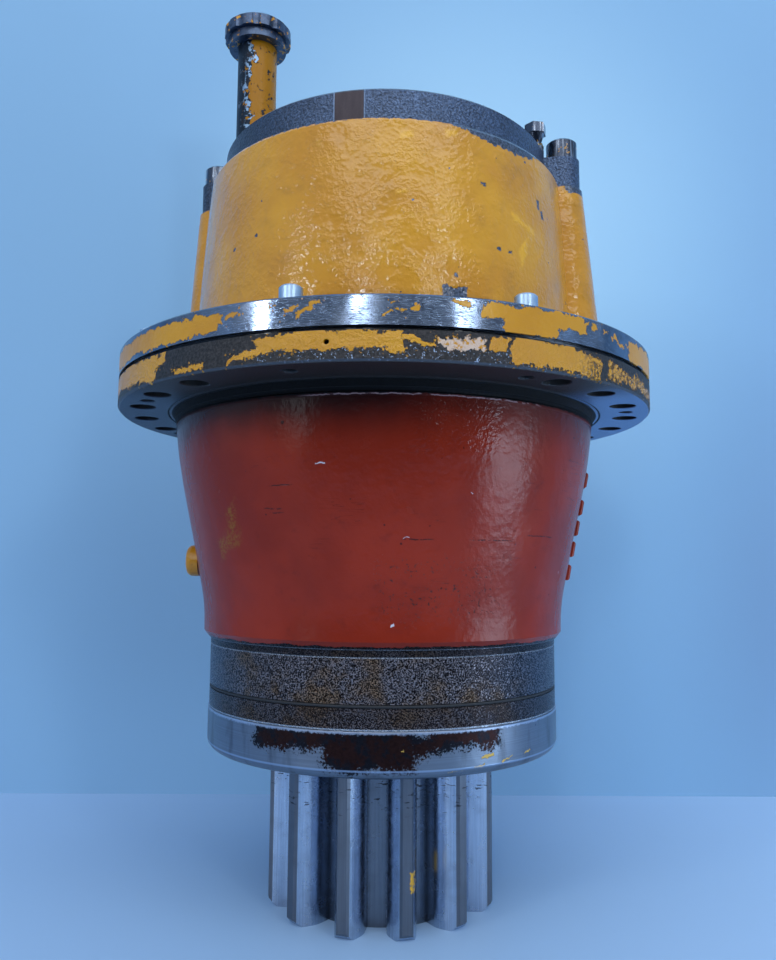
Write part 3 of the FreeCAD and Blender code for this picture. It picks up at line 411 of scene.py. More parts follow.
def make_flange_rough():
    """Rough cast rim of the lower flange under flaking yellow, and its dark underside."""
    s = Shader("flange_rough")
    s.wander(0.9)
    wobble = ragged(s, 1.6)
    boxes = s.most(
        s.patch(-62, 38, 11.5, 14.5), s.slanted(-43.5, 9.0, 8.0, 15.0, 6.0), s.patch(-46, 7, 5.0, 5.0),
        s.slanted(-33.5, 7.5, 4.0, 5.0, 2.6), s.slanted(-21.5, 7.0, 4.6, 9.5, 5.5),
        s.slanted(-15.0, 10.0, 11.5, 14.0, 9.0), s.patch(-6.0, 15, 12.5, 11.5), s.patch(2.0, 7, 12.0, 11.0),
        s.slanted(8.0, 5.0, 14.0, 9.0, 3.0), s.slanted(11.8, 3.2, 15.0, 8.0, 6.0),
        s.patch(15.5, 7, 11.5, 9.0), s.patch(21.2, 4.0, 12.5, 10.0), s.patch(30.5, 13.5, 10.5, 16.5),
        s.slanted(39.5, 9.0, 11.0, 8.0, 13.0), s.patch(48.5, 5.0, 9.0, 13.0),
        s.slanted(54.5, 8.0, 9.0, 7.0, 8.0),
        s.slanted(64.0, 12.0, 10.0, 6.0, 7.0), s.patch(78, 14, 8.0, 10.0), s.patch(104, 26, 10, 12),
        s.patch(150, 50, 11, 12), s.patch(-140, 44, 11, 13), s.patch(-98, 22, 10, 14),
    )
    inside = boxes + wobble * 0.5 + (s.noise(1.8, 3, 0.7, shift=87) - 0.5) * 6.0
    crumbs = s.specks(2.6, 0.35, 0.12, 0.4) * s.step(inside, -5.0, -0.5)
    paint = s.most(s.step(inside, 0.0, 0.35), crumbs)
    on_rim = s.beyond(202.2, 203.0)
    paint = paint * on_rim
    thin = s.step(s.bearing, 36.0, 44.0) * s.step(s.noise(2.4, 3, 0.7), 0.5, 0.62)
    paint = paint * (1.0 - thin * 0.9)
    # A painted highlight: pale pinkish glints over one patch of the yellow rim.
    painted_glint_patch = s.patch(14.8, 9.0, 11.5, 10.0) + wobble * 0.4
    pale = s.step(painted_glint_patch, 0.0, 0.6) * s.step(s.noise(3, 3), 0.38, 0.5)
    yellow = s.mix(pale * 0.85, yellow_paint(s), rgb(214, 188, 170))
    sand = s.noise(1.8, 4, 0.7)
    cast = s.mix(s.step(sand, 0.36, 0.66), rgb(12, 11, 12), rgb(58, 52, 52))
    # Painted glints: pale blue-white specks on the cast rim where it faces the lamps in front.
    painted_glint_zone = s.step(s.bearing, -24, -16) * s.step(s.bearing, 46, 36) * s.step(s.z, 11.5, 8.5)
    painted_glints = s.step(s.noise(1.5, 3, 0.7, shift=43), 0.6, 0.66) * painted_glint_zone
    cast = s.mix(painted_glints * 0.85, cast, rgb(176, 196, 226))
    front = s.step(s.absolute(s.bearing), 62, 44)
    under = s.step(s.z, 0.6, 0.2)
    smooth = under * (1.0 - front)
    ring_line = s.step(s.absolute(s.power(s.x * s.x + s.y * s.y, 0.5) - 168.4), 1.2, 0.4)
    brown = s.mix(s.noise(2.0, 5, 0.75), rgb(18, 15, 16), rgb(70, 58, 54))
    cast = s.mix(under * front, cast, brown)
    # The smooth underside at the sides is smooth metal with a painted reflection: blue-grey, darker on the
    # left and lighter on the right.
    painted_side_sheen = s.mix(s.step(s.bearing, -30, 40), rgb(50, 60, 80), rgb(120, 148, 190))
    cast = s.mix(smooth, cast, painted_side_sheen)
    ringed = s.step(s.z, 1.9, 1.2) * s.step(s.z, 0.0, 0.6) * on_rim
    cast = s.mix(ringed * 0.6, cast, rgb(92, 96, 104))
    color = s.mix(paint, cast, yellow)
    # Painted shade: the hole walls and the collar in the groove under the flange are painted near black; the
    # ring line is a dark step line.
    painted_hole_shade = s.beyond(201.9, 201.7) * s.step(s.z, 0.75, 0.95)
    collar = s.beyond(166.5, 165.5)
    color = s.mix(s.most(painted_hole_shade, collar, ring_line * 0.7), color, rgb(7, 6, 8))
    fine = s.noise(1.5, 4, 0.65)
    s.bump(fine, 0.6)
    s.bump(s.noise(4.2, 3, 0.6, shift=9) * paint, 0.9)
    s.bump(paint, 0.35)
    rough = s.blend(paint, s.blend(smooth, 0.5, 0.34), 0.24) + collar * 0.5
    metal = s.blend(paint, s.blend(smooth, 0.3, 0.8), 0.0) * (1.0 - s.most(painted_hole_shade, collar))
    return s.finish(color, rough, metal, Coat_Weight=0.06, Coat_Roughness=0.15)


def make_red_casting():
    """Red oxide coat on the lower casing, and the oily turned spigot below it."""
    s = Shader("red_casting")
    s.wander(0.9)
    wobble = ragged(s)
    edge = s.z + 165.2 + (s.noise(14, 3, shift=2) - 0.5) * 4.0 + (s.noise(3, 3) - 0.5) * 1.6
    spigot = s.step(edge, 0.25, -0.25)
    tone = s.mix(s.step(s.noise(70, 3), 0.35, 0.66), rgb(132, 37, 19), rgb(150, 45, 24))
    tone = s.mix(s.step(s.noise(13, 4, 0.65, shift=23), 0.56, 0.78) * 0.4, tone, rgb(96, 28, 20))
    murk = (s.noise(40, 3, shift=63) - 0.5) * 16.0
    shade = s.step(s.z + murk, -42, -9) * (0.9 - s.step(s.bearing, 0, 20) * 0.35)
    tone = s.mix(shade, tone, rgb(26, 8, 9))
    # Painted shade: a near-black band in the groove just under the flange.
    tone = s.mix(s.step(s.z + (s.noise(5, 3) - 0.5) * 3.0, -9.5, -8.2), tone, rgb(8, 6, 8))
    # A painted highlight: a broken pale pink line just below the groove, on the front and right.
    painted_edge_highlight = s.step(s.absolute(s.z + 9.4 + (s.noise(8, 4, 0.7, shift=2) - 0.5) * 3.2), 0.55, 0.2)
    painted_edge_highlight = painted_edge_highlight * s.step(s.bearing, -18, -12) * s.step(s.bearing, 44, 38)
    painted_edge_highlight = painted_edge_highlight * s.step(s.noise(9, 3, shift=39), 0.4, 0.5)
    tone = s.mix(painted_edge_highlight * 0.8, tone, rgb(186, 150, 150))
    where = s.patch(19.0, 34.0, -128.0, 34.0, ARC_CASING)
    dense = s.step(where + wobble, -10.0, 8.0)
    grit = s.step(s.noise(1.9, 2, 0.6, shift=4), 0.6, 0.65) * s.step(s.noise(17, 4, 0.6, shift=6), 0.34, 0.56)
    grit = grit * dense
    few = s.most(s.specks(15, 0.3, 0.03, 0.08), s.specks(7, 0.08, 0.05, 0.1))
    lines = s.noise(1.0, 2, 0.5, where=s.wrapped(0.035, 0.33), shift=11)
    thin = s.step(s.absolute(lines - 0.5), 0.0035, 0.0015)
    where_lines = s.step(s.noise(34, 3, shift=15), 0.56, 0.62)
    where_lines = where_lines * s.step(s.z, -145, -120) * s.step(s.z, -30, -50)
    drift = s.z + (s.noise(9, 3, shift=81) - 0.5) * 2.4 + s.bearing * 0.04
    cuts = [
        s.least(
            s.step(s.absolute(drift - z), 0.55, 0.15),
            s.step(s.absolute(s.bearing - middle), half, half * 0.6),
        )
        for z, middle, half in (
            (-65, -22.5, 3.8), (-79.5, -25.5, 3.0), (-82, -24.5, 2.4),
            (-96.5, 31, 7.5), (-92, 48.5, 7.0), (-97.5, 11, 4.5),
        )
    ]
    broken = s.step(s.noise(3.0, 3, 0.7, shift=83), 0.4, 0.52)
    scratch = s.most(thin * where_lines * 0.6, s.most(*cuts) * broken)
    dark = s.most(grit * 0.85, few * 0.75, scratch * 0.85)
    paint = s.mix(dark, tone, rgb(26, 16, 18))
    fog = s.step(s.most(
        s.slanted(-40.0, 3.4, -88.0, -80.0, 14.0, ARC_FOOT),
        s.slanted(-42.5, 9.0, -104.0, -94.0, 9.0, ARC_FOOT),
    ) + wobble * 0.5, -3.5, 3.0) * s.step(s.noise(2.0, 3, 0.7, shift=47), 0.42, 0.58) * 0.8
    paint = s.mix(fog, paint, rgb(140, 92, 26))
    glints = s.most(
        s.patch(-11.5, 2.4, -51.5, 0.7, ARC_FOOT) + wobble * 0.12,
        s.patch(7.2, 1.4, -98.0, 0.6, ARC_FOOT) + wobble * 0.1,
        s.patch(5.0, 0.7, -151.0, 2.0, ARC_FOOT) + wobble * 0.1,
        s.patch(24.0, 0.7, -69.0, 1.2, ARC_FOOT) + wobble * 0.1,
    )
    glints = s.step(glints, -0.1, 0.25)
    paint = s.mix(glints, paint, rgb(206, 200, 206))
    grain = s.step(s.noise(0.95, 2, 0.55), 0.42, 0.66)
    side = s.step(s.absolute(s.bearing + 4.0), 34, 62)
    steel = s.mix(grain, rgb(22, 18, 20), rgb(132, 126, 132))
    steel = s.mix(side * 0.8, steel, s.mix(grain, rgb(36, 44, 58), rgb(104, 118, 140)))
    rust = s.step(s.noise(26, 4, 0.6, shift=8), 0.44, 0.62) * (1.0 - side) * 0.75
    steel = s.mix(rust, steel, s.mix(grain, rgb(44, 30, 18), rgb(132, 104, 74)))
    top_dark = s.step(s.z, -172.6, -171.6)
    steel = s.mix(top_dark * 0.75, steel, rgb(26, 24, 28))
    low_dark = s.step(s.z, -199.0, -203.5) * 0.5
    steel = s.mix(low_dark, steel, rgb(40, 32, 32))
    # Painted highlights: pale lines along the groove edges of the spigot.
    painted_groove_highlights = s.most(
        s.step(s.absolute(s.z + 172.1), 0.55, 0.2), s.step(s.absolute(s.z + 216.4), 0.7, 0.3),
        s.step(s.absolute(s.z + 167.0), 0.5, 0.2) * 0.5,
    )
    steel = s.mix(painted_groove_highlights * 0.8, steel, rgb(176, 182, 192))
    color = s.mix(spigot, paint, steel)
    s.bump(s.noise(24, 2), 0.7)
    s.bump(s.noise(4.5, 2) * (1.0 - spigot), 0.3)
    sticky = s.step(s.bearing, 4, 12) * s.step(s.bearing, 34, 26) * s.step(s.z, -52, -34)
    s.bump(s.noise(2.6, 2) * sticky, 0.5)
    s.bump(1.0 - spigot, 0.35)
    s.bump(grain * spigot, 0.3)
    s.bump(1.0 - dark, 0.12)
    neck = s.step(s.z, -11.0, -9.0) * 0.5
    painted = s.noise(15, 3) * 0.1 + 0.2 + neck + grit * 0.2 - sticky * 0.12
    rough = s.blend(spigot, painted, grain * 0.1 + 0.24)
    return s.finish(color, rough, spigot * 0.9, Specular_IOR_Level=0.22)


def make_machined_nose():
    """Turned nose ring: smooth blue-grey at the sides, an oily brown-black film in the middle."""
    s = Shader("machined_nose")
    s.wander(0.55)
    wobble = ragged(s)
    film = s.most(
        s.patch(-1.0, 26.0, -227.0, 30.0, ARC_NOSE), s.patch(-22.0, 28.0, -222.0, 17.0, ARC_NOSE),
        s.patch(26.0, 24.0, -221.5, 16.0, ARC_NOSE), s.patch(16.0, 12.0, -225.0, 12.0, ARC_NOSE),
    ) + wobble * 0.75 + (s.noise(1.6, 3, 0.7, shift=29) - 0.5) * 22.0
    film = s.step(film, -1.5, 1.5)
    grain = s.noise(1.9, 5, 0.7)
    blot = s.step(s.noise(9, 4, 0.65, shift=17), 0.47, 0.6)
    turned = s.noise(1.0, 3, 0.6, where=s.wrapped(0.03, 1.8))
    steel = s.mix(turned, rgb(92, 100, 112), rgb(136, 146, 160))
    streak = s.step(s.noise(12, 4, 0.6, where=s.stretched(1, 1, 0.25), shift=27), 0.5, 0.72)
    steel = s.mix(streak * 0.5, steel, rgb(60, 58, 64))
    brown = s.mix(grain, rgb(20, 11, 11), rgb(62, 36, 32))
    black = s.mix(blot, brown, s.mix(grain, rgb(10, 10, 14), rgb(40, 40, 48)))
    color = s.mix(film, steel, black)
    dabs = s.most(
        s.slanted(33.0, 4.6, -236.0, -235.0, 1.8, ARC_NOSE),
        s.slanted(30.5, 4.0, -241.5, -240.0, 1.7, ARC_NOSE),
        s.slanted(40.5, 4.4, -240.2, -237.6, 1.5, ARC_NOSE),
        s.slanted(23.0, 5.0, -243.6, -243.0, 1.2, ARC_NOSE),
        s.slanted(49.5, 3.0, -238.0, -236.6, 1.1, ARC_NOSE),
        s.patch(8.0, 0.8, -229.0, 1.2, ARC_NOSE),
    ) + wobble * 0.16 + (s.noise(1.4, 3, 0.7, shift=73) - 0.5) * 2.4
    dab = s.step(dabs, 0.0, 0.4)
    color = s.mix(dab, color, rgb(206, 166, 70))
    # A painted highlight: a pale blue line along the lower bend of the nose.
    painted_lip_highlight = s.step(s.absolute(s.z + 241.2), 0.9, 0.3)
    color = s.mix(painted_lip_highlight * 0.5, color, rgb(176, 196, 226))
    # A painted highlight: the top edge of the nose is painted pale blue.
    edge = s.step(s.z + (s.noise(2.2, 3, 0.7, shift=31) - 0.5) * 4.0, -219.4, -218.2)
    color = s.mix(edge * 0.75, color, rgb(186, 196, 216))
    s.bump(grain * film, 0.16)
    s.bump(turned, 0.02)
    s.bump(s.noise(7, 3), 0.12)
    s.bump(dab, 0.3)
    rough = s.blend(film, s.noise(8, 3) * 0.12 + 0.24, grain * 0.3 + 0.22)
    rough = s.blend(dab, rough, 0.4)
    return s.finish(color, rough, s.blend(dab, 0.92, 0.0))


def make_pinion_steel():
    """Satin gear steel: dull tooth tips, dark roots, handling marks and one dab of yellow."""
    s = Shader("pinion_steel")
    radius = s.power(s.x * s.x + s.y * s.y, 0.5)
    along = s.noise(1.0, 3, 0.6, where=s.stretched(0.9, 0.9, 0.02))
    mottled = s.noise(16, 4, 0.6, shift=4)
    steel = s.mix(along, rgb(132, 145, 164), rgb(212, 223, 240))
    steel = s.mix(s.step(mottled, 0.45, 0.75) * 0.35, steel, rgb(120, 124, 132))
    tip = s.step(radius, 82.6, 83.4)
    steel = s.mix(tip * 0.8, steel, rgb(84, 84, 88))
    root = s.step(radius, 64, 59)
    steel = s.mix(root * 0.7, steel, rgb(46, 46, 50))
    marks = s.step(s.noise(3.6, 3, 0.6, where=s.stretched(0.5, 0.5, 2.2), shift=14), 0.6, 0.66)
    zone = s.step(s.absolute(s.z + 272), 17, 6)
    steel = s.mix(marks * zone * 0.85, steel, rgb(42, 40, 44))
    flecks = (s.noise(2.2, 3, 0.7, shift=73) - 0.5) * 7.0
    dab = s.step(s.least(1.4 - s.absolute(s.x - 24.5), 6.5 - s.absolute(s.z + 325)) + flecks, 0.0, 0.4)
    steel = s.mix(dab, steel, rgb(214, 160, 40))
    s.bump(along, 0.03)
    s.bump(s.noise(1.2, 3), 0.02)
    rough = s.noise(9, 3) * 0.12 + 0.2 + tip * 0.14 + marks * zone * 0.2
    return s.finish(steel, s.blend(dab, rough, 0.45), s.blend(dab, 1.0, 0.0))


LAND_LEFT = -13.4
LAND_RIGHT = -4.1


def make_dark_casting():
    """Bare sand-cast iron of the motor cover, oily and coarse, with one machined land."""
    s = Shader("dark_casting")
    grain = s.noise(1.4, 3, 0.6)
    pits = s.cells(2.4)
    shadow = s.step(s.bearing, -8, -50) * 0.5
    color = s.mix(s.step(grain, 0.3, 0.74), rgb(40, 50, 68), rgb(92, 112, 144))
    color = s.mix(shadow, color, rgb(18, 22, 30))
    patchy = s.step(s.noise(22, 3, shift=9), 0.45, 0.7)
    color = s.mix(patchy * 0.25, color, rgb(46, 50, 60))
    in_land = s.least(s.bearing - LAND_LEFT, LAND_RIGHT - s.bearing)
    land = s.step(in_land, -0.1, 0.2)
    land = land * s.step(s.z, 180, 182) * s.step(s.z, 209, 208)
    milled = s.noise(1.0, 2, 0.5, where=s.wrapped(0.6, 0.05))
    brown = s.mix(milled, rgb(52, 46, 48), rgb(88, 78, 80))
    brown = s.mix(s.noise(1.2, 3, 0.7), rgb(58, 52, 58), brown)
    color = s.mix(land, color, brown)
    rim = s.step(s.z, 206.2, 208.6) * 0.5
    color = s.mix(rim, color, rgb(120, 126, 136))
    splash = s.step(s.patch(40.0, 14.0, 182.0, 3.0, ARC_COVER) + ragged(s) * 0.3, 0.0, 0.5)
    color = s.mix(splash, color, YELLOW)
    s.bump(grain * (1.0 - land), 0.7)
    s.bump(pits * (1.0 - land), 0.3)
    s.bump(milled * land, 0.03)
    # Painted highlights: pale blue lines along the edges of the machined land.
    painted_land_edges = s.step(s.absolute(in_land), 0.25, 0.1) * s.step(s.z, 180, 182)
    color = s.mix(painted_land_edges * 0.6, color, rgb(150, 170, 200))
    rough = s.blend(land, grain * 0.14 + 0.24, 0.34)
    return s.finish(color, rough, s.blend(splash, s.blend(land, 0.55, 0.8), 0.0))


FILLER_X = -133.4


def make_filler_steel():
    """Filler tube: yellow on its right side, bare dark steel on its left, flaking between."""
    s = Shader("filler_steel")
    wobble = ragged(s)
    sway = (s.noise(15, 2, 0.5, where=s.stretched(0.2, 0.2, 1), shift=3) - 0.5) * 16.0
    edge = s.x - FILLER_X + 2.0 + wobble * 0.5 + sway
    flakes = 5.0 - s.absolute(s.x + 131.4) * 1.1 - s.absolute(s.z - 375.0) * 0.8 + wobble * 0.55
    paint = s.step(edge, 0.0, 0.4) * (1.0 - s.step(flakes, 0.0, 0.3))
    chip = s.step(s.noise(5.5, 4, 0.62, shift=6), 0.6, 0.615)
    paint = paint * (1.0 - chip)
    islands = s.step(s.noise(7.0, 3, 0.6, shift=53), 0.6, 0.615) * s.step(edge, -9.0, -6.0)
    paint = s.most(paint, islands)
    zinc = s.step(s.noise(4.5, 3, 0.6, shift=91), 0.5, 0.52) * s.step(s.absolute(edge + 1.0), 5.5, 2.5)
    zinc = s.most(zinc * (1.0 - paint), s.step(flakes, 0.0, 0.3))
    grain = s.noise(2.4, 4, 0.65)
    steel = s.mix(grain, rgb(14, 20, 28), rgb(52, 64, 78))
    steel = s.mix(s.step(s.noise(11, 3, shift=2), 0.52, 0.7) * 0.35, steel, rgb(70, 50, 40))
    light = s.step(s.noise(6, 3, shift=12), 0.6, 0.66)
    steel = s.mix(light * 0.4, steel, rgb(144, 154, 168))
    steel = s.mix(zinc * 0.85, steel, rgb(150, 178, 206))
    color = s.mix(paint, steel, s.mix(0.6, yellow_paint(s), rgb(140, 88, 12)))
    s.bump(grain, 0.2)
    s.bump(s.noise(4, 2) * paint, 0.3)
    s.bump(paint, 0.3)
    return s.finish(color, s.blend(paint, 0.42, 0.3), s.blend(paint, 0.75, 0.0), Specular_IOR_Level=0.2)


def make_cap_metal():
    """Blue-grey cap metal with rests of the yellow coat."""
    s = Shader("cap_metal")
    grain = s.noise(2.6, 4, 0.65)
    metal = s.mix(grain, rgb(46, 56, 74), rgb(98, 112, 136))
    metal = s.mix(s.step(s.noise(9, 4, shift=3), 0.5, 0.66) * 0.75, metal, rgb(40, 46, 58))
    left = s.step(s.noise(6, 4, 0.6, shift=21), 0.6, 0.63)
    color = s.mix(left, metal, yellow_paint(s))
    s.bump(grain, 0.15)
    s.bump(left, 0.25)
    return s.finish(color, s.blend(left, grain * 0.16 + 0.24, 0.35), s.blend(left, 0.85, 0.0))


def steel_material(name, dark, pale, size, rough, spot=None, depth=0.05, metal=1.0):
    """Satin metal with mottling, faint grain and a few stains."""
    s = Shader(name)
    mottle = s.noise(size, 4, 0.6)
    color = s.mix(mottle, dark, pale)
    stain = s.step(s.noise(size * 2.4, 4, 0.6, shift=9), 0.55, 0.75)
    color = s.mix(stain * 0.45, color, spot or dark)
    grain = s.noise(1.1, 3, 0.6)
    s.bump(grain, depth)
    s.bump(s.noise(size * 0.7, 2), depth)
    return s.finish(color, s.noise(size, 3) * 0.14 + (rough - 0.07) + stain * 0.1, metal)


def make_black_screw():
    """Blackened screws with painted reflections as pale vertical streaks, and a little yellow overspray."""
    s = Shader("black_screw")
    grain = s.noise(1.6, 4, 0.6)
    color = s.mix(grain, rgb(44, 50, 62), rgb(104, 112, 128))
    # Painted reflection: pale vertical streaks on the screws.
    painted_streak_reflection = s.step(s.noise(7, 3, 0.6, where=s.stretched(1.6, 1.6, 0.15), shift=5), 0.5, 0.6)
    color = s.mix(painted_streak_reflection * 0.8, color, rgb(172, 180, 194))
    dab = s.step(s.noise(4.0, 3, 0.6, shift=33), 0.66, 0.68) * s.step(s.z, 195, 200)
    color = s.mix(dab, color, YELLOW)
    s.bump(grain, 0.05)
    return s.finish(color, s.blend(dab, s.noise(5, 3) * 0.12 + 0.17, 0.4), s.blend(dab, 1.0, 0.0))


def make_yellow_plug():
    """Yellow painted plug with rust at its edges."""
    s = Shader("yellow_plug")
    peel = s.noise(3.0, 2)
    color = yellow_paint(s)
    rust = s.step(s.noise(5, 4, 0.6, shift=8), 0.66, 0.72)
    color = s.mix(rust * 0.7, color, rgb(80, 56, 30))
    s.bump(peel, 0.3)
    return s.finish(color, s.noise(7, 3) * 0.1 + 0.26, 0.0)


def make_rubber():
    """Matt black seal rubber."""
    s = Shader("seal_rubber")
    color = s.mix(s.noise(3, 4), rgb(16, 16, 18), rgb(38, 38, 42))
    s.bump(s.noise(1.2, 3), 0.08)
    return s.finish(color, s.noise(4, 3) * 0.2 + 0.5, 0.0)


def make_lining():
    """Brown grainy friction lining."""
    s = Shader("friction_lining")
    color = s.mix(s.noise(1.4, 4, 0.7), rgb(72, 54, 40), rgb(136, 110, 86))
    s.bump(s.noise(1.0, 3), 0.1)
    return s.finish(color, s.noise(3, 3) * 0.15 + 0.7, 0.0)


MATERIALS = {
    "yellow_casting": make_yellow_casting(),
    "flange_machined": make_flange_machined(),
    "flange_rough": make_flange_rough(),
    "red_casting": make_red_casting(),
    "machined_nose": make_machined_nose(),
    "pinion_steel": make_pinion_steel(),
    "dark_casting": make_dark_casting(),
    "filler_steel": make_filler_steel(),
    "cap_metal": make_cap_metal(),
    "black_screw": make_black_screw(),
    "yellow_plug": make_yellow_plug(),
    "seal_rubber": make_rubber(),
    "friction_lining": make_lining(),
}

STEELS = [
    # name, dark tone, pale tone, size of the mottling in mm, roughness, other settings
    ("port_steel", rgb(44, 47, 52), rgb(92, 96, 103), 9.0, 0.42, dict(metal=0.7)),
    ("gear_steel", rgb(128, 130, 134), rgb(172, 174, 177), 8.0, 0.3, dict()),
    ("bearing_steel", rgb(172, 174, 178), rgb(206, 208, 211), 14.0, 0.16, dict(depth=0.01)),
    ("zinc_steel", rgb(150, 176, 204), rgb(206, 226, 246), 4.0, 0.4, dict(spot=rgb(120, 132, 146))),
    ("bronze", rgb(150, 104, 50), rgb(196, 148, 82), 7.0, 0.3, dict()),
    ("washer_brass", rgb(140, 110, 56), rgb(186, 156, 88), 5.0, 0.34, dict()),
    ("brake_steel", rgb(104, 106, 111), rgb(150, 152, 156), 10.0, 0.34, dict()),
    ("spring_steel", rgb(60, 62, 68), rgb(104, 107, 113), 5.0, 0.3, dict()),
]
for name, dark, pale, size, rough, extra in STEELS:
    MATERIALS[name] = steel_material(name, dark, pale, size, rough, **extra)

slots = {part["node"]: part["material_slot"] for part in frame["record"]["subparts"]}
for name, node in frame["nodes"].items():
    node.data.materials.clear()
    node.data.materials.append(MATERIALS[slots[name]])

# The brake springs, squeezed between the lifting piston and the cage above them, get an object of their own
# that rides with the casing; the part itself is hidden.
bpy.context.view_layer.update()
spring_node = frame["nodes"]["brake_springs"]
spring_mesh = spring_node.data.copy()
spring_mesh.transform(spring_node.matrix_world)
springs = bpy.data.objects.new("brake_spring_coils", spring_mesh)
bpy.context.scene.collection.objects.link(springs)
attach(springs, "casing")
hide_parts("brake_springs")
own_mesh(springs)


def blob(s, x, y, z, size):
    """1 at a place in mm, falling to 0 at half sizes in x, y and z; None where that axis doesn't matter."""
    total = None
    for value, middle, half in ((s.x, x, size[0]), (s.y, y, size[1]), (s.z, z, size[2])):
        if half:
            part = s.power(s.absolute((value - middle) * (1.0 / half)), 2.0)
            total = part if total is None else total + part
    return s.step(s.power(total, 0.5), 1.0, 0.0)


def plain(name, base, light_and_shadow_blobs, rough):
    """Stage paint with painted pools of light and painted shadows laid over its base colour. It shows from
    the front only, so it never hides a back view.
    """
    s = Shader(name)
    tone = s.mix(0.0, base, base)
    for x, y, z, size, strength, color in light_and_shadow_blobs:
        tone = s.mix(blob(s, x, y, z, size) * strength, tone, color)
    s.bump(s.noise(14, 3), 0.05)
    material = s.finish(tone, rough, 0.0, Specular_IOR_Level=0.3)
    facing = s.tree.nodes.new("ShaderNodeNewGeometry").outputs["Backfacing"]
    clear = s.tree.nodes.new("ShaderNodeBsdfTransparent")
    chooser = s.tree.nodes.new("ShaderNodeMixShader")
    output = next(n for n in s.tree.nodes if n.type == "OUTPUT_MATERIAL")
    s.tree.links.new(facing, chooser.inputs[0])
    s.tree.links.new(s.bsdf.outputs[0], chooser.inputs[1])
    s.tree.links.new(clear.outputs[0], chooser.inputs[2])
    s.tree.links.new(chooser.outputs[0], output.inputs["Surface"])
    return material


def sheet(name, corners, material):
    """One flat four-sided stage surface."""
    mesh = bpy.data.meshes.new(name)
    mesh.from_pydata(corners, [], [(0, 1, 2, 3)])
    mesh.materials.append(material)
    made = bpy.data.objects.new(name, mesh)
    bpy.context.scene.collection.objects.link(made)
    return made


WALL_Y = 0.277
WALL_SLOPE = 0.045
FLOOR_FRONT = -1.05
STAGE_HALF = 3
WALL_LOW = -1
WALL_HIGH = 3
floor_paint = plain("floor_paint", rgb(160, 190, 222), [
    # A painted pool of light: the floor is painted brighter to the right.
    (500, 0, 0, (620, None, None), 0.7, rgb(178, 206, 234)),
    # A painted shadow of the drive on the floor, to its left.
    (-60, 80, 0, (330, 150, None), 0.2, rgb(120, 152, 192)),
], 0.5)
wall_paint = plain("wall_paint", rgb(140, 180, 212), [
    # A painted pool of light on the wall, high and near the middle.
    (90, 0, 280, (420, None, 420), 0.75, rgb(190, 228, 248)),
    # A painted shadow of the drive on the wall, low on the left.
    (-290, 0, -120, (190, None, 260), 0.3, rgb(104, 138, 174)),
    # A painted shadow of the drive on the wall, low on the right.
    (440, 0, -180, (170, None, 380), 0.55, rgb(112, 138, 170)),
    # Painted shade: the wall is darker towards the right.
    (620, 0, 100, (330, None, 700), 0.45, rgb(128, 154, 186)),
], 0.75)
sheet("floor", [
    (-STAGE_HALF, FLOOR_FRONT, FLOOR_Z), (STAGE_HALF, FLOOR_FRONT, FLOOR_Z),
    (STAGE_HALF, STAGE_HALF, FLOOR_Z), (-STAGE_HALF, STAGE_HALF, FLOOR_Z),
], floor_paint)
wall_left = WALL_Y - STAGE_HALF * WALL_SLOPE
wall_right = WALL_Y + STAGE_HALF * WALL_SLOPE
sheet("backdrop", [
    (-STAGE_HALF, wall_left, WALL_LOW), (STAGE_HALF, wall_right, WALL_LOW),
    (STAGE_HALF, wall_right, WALL_HIGH), (-STAGE_HALF, wall_left, WALL_HIGH),
], wall_paint)


def lamp(name, azimuth, distance, z, width, tall, power, color):
    """A soft rectangular light at a bearing from the drive, turned to face its axis."""
    data = bpy.data.lights.new(name, "AREA")
    data.shape = "RECTANGLE"
    data.size = width
    data.size_y = tall
    data.energy = power
    data.color = color
    made = bpy.data.objects.new(name, data)
    a = math.radians(azimuth)
    made.location = (distance * math.sin(a), -distance * math.cos(a), z)
    aim = Vector((0, 0, z * 0.3)) - made.location
    made.rotation_euler = aim.to_track_quat("-Z", "Y").to_euler()
    bpy.context.scene.collection.objects.link(made)
    return made


DAY = (0.84, 0.92, 1.0)
COOL = (0.62, 0.80, 1.0)
lamp("window_left", -45, 2.6, 0.82, 0.26, 0.52, 9, DAY)
lamp("window_mid", -7, 2.8, 0.95, 0.28, 0.5, 8, DAY)
lamp("window_right", 33, 2.8, 0.95, 0.3, 0.6, 9, DAY)
lamp("low_left", -42, 2.6, -0.05, 0.34, 0.56, 2, DAY)
lamp("ceiling", 10, 1.0, 1.9, 2.4, 2.0, 31, DAY)
lamp("low_right", 68, 1.2, -0.3, 0.5, 0.4, 5, COOL)

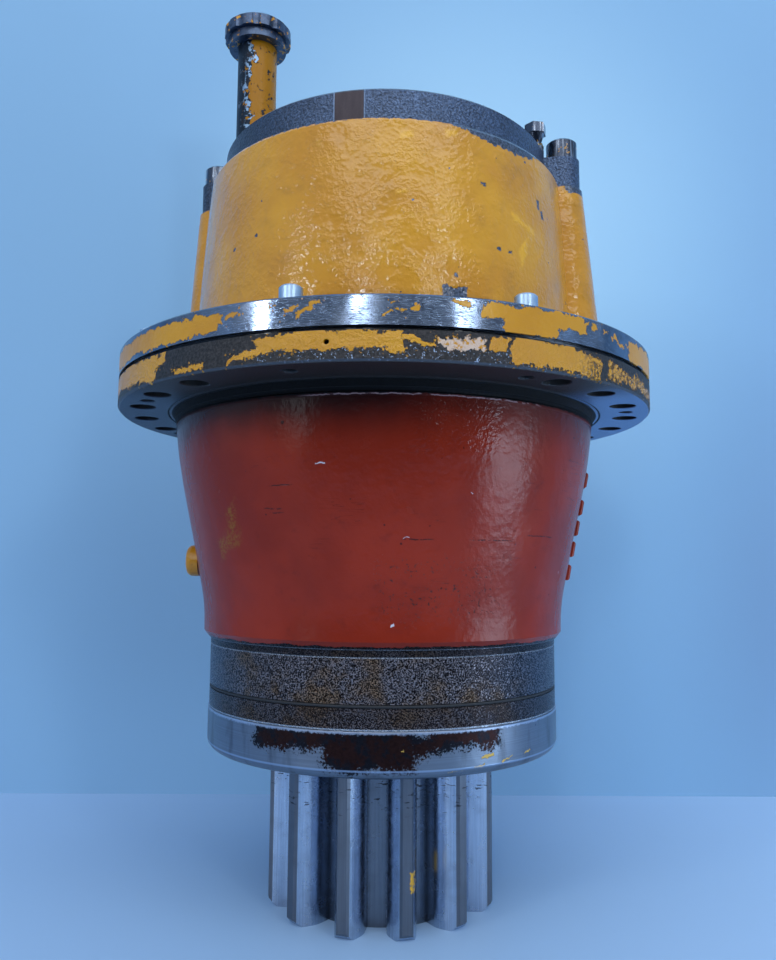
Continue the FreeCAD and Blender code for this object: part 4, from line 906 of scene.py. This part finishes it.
# The room: darker below, pale above, and a brighter blue beside and behind the drive.
ROOM_LOW = (0.035, 0.05, 0.085, 1)
ROOM_MIDDLE = (0.16, 0.20, 0.27, 1)
ROOM_HIGH = (0.53, 0.60, 0.70, 1)
ROOM_SIDES = (0.36, 0.51, 0.72, 1)
world = bpy.data.worlds.new("room")
world.use_nodes = True
tree = world.node_tree
direction = tree.nodes.new("ShaderNodeTexCoord")
split = tree.nodes.new("ShaderNodeSeparateXYZ")
tree.links.new(direction.outputs["Generated"], split.inputs[0])
rise = tree.nodes.new("ShaderNodeValToRGB")
rise.color_ramp.elements[0].position = 0.0
rise.color_ramp.elements[0].color = ROOM_LOW
rise.color_ramp.elements[1].position = 0.62
rise.color_ramp.elements[1].color = ROOM_HIGH
middle = rise.color_ramp.elements.new(0.12)
middle.color = ROOM_MIDDLE
tree.links.new(split.outputs["Z"], rise.inputs[0])
beside = tree.nodes.new("ShaderNodeMapRange")
beside.inputs["From Min"].default_value = -0.58
beside.inputs["From Max"].default_value = -0.46
tree.links.new(split.outputs["Y"], beside.inputs["Value"])
sides = tree.nodes.new("ShaderNodeMix")
sides.data_type = "RGBA"
sides.inputs[7].default_value = ROOM_SIDES
tree.links.new(beside.outputs["Result"], sides.inputs["Factor"])
tree.links.new(rise.outputs[0], sides.inputs[6])
tree.links.new(sides.outputs[2], tree.nodes["Background"].inputs["Color"])
tree.nodes["Background"].inputs["Strength"].default_value = 1.0
bpy.context.scene.world = world

LENS_MM = 30.98
SENSOR_MM = 36.0
CAMERA_PLACE = (0.02876, -0.65867, -0.11506)
CAMERA_TILT = 96.013
CAMERA_TURN = 2.207
CAMERA_ROLL = 0.373
camera_data = bpy.data.cameras.new("camera")
camera_data.lens = LENS_MM
camera_data.sensor_width = SENSOR_MM
camera = bpy.data.objects.new("camera", camera_data)
camera.location = CAMERA_PLACE
turn = Matrix.Rotation(math.radians(CAMERA_TURN), 3, "Z")
tilt = Matrix.Rotation(math.radians(CAMERA_TILT), 3, "X")
roll = Matrix.Rotation(math.radians(CAMERA_ROLL), 3, "Z")
facing = turn @ tilt @ roll
camera.rotation_euler = facing.to_euler()
camera_data.clip_start = 0.01
camera_data.clip_end = 20
bpy.context.scene.collection.objects.link(camera)
bpy.context.scene.camera = camera
bpy.context.scene.view_settings.view_transform = "Standard"
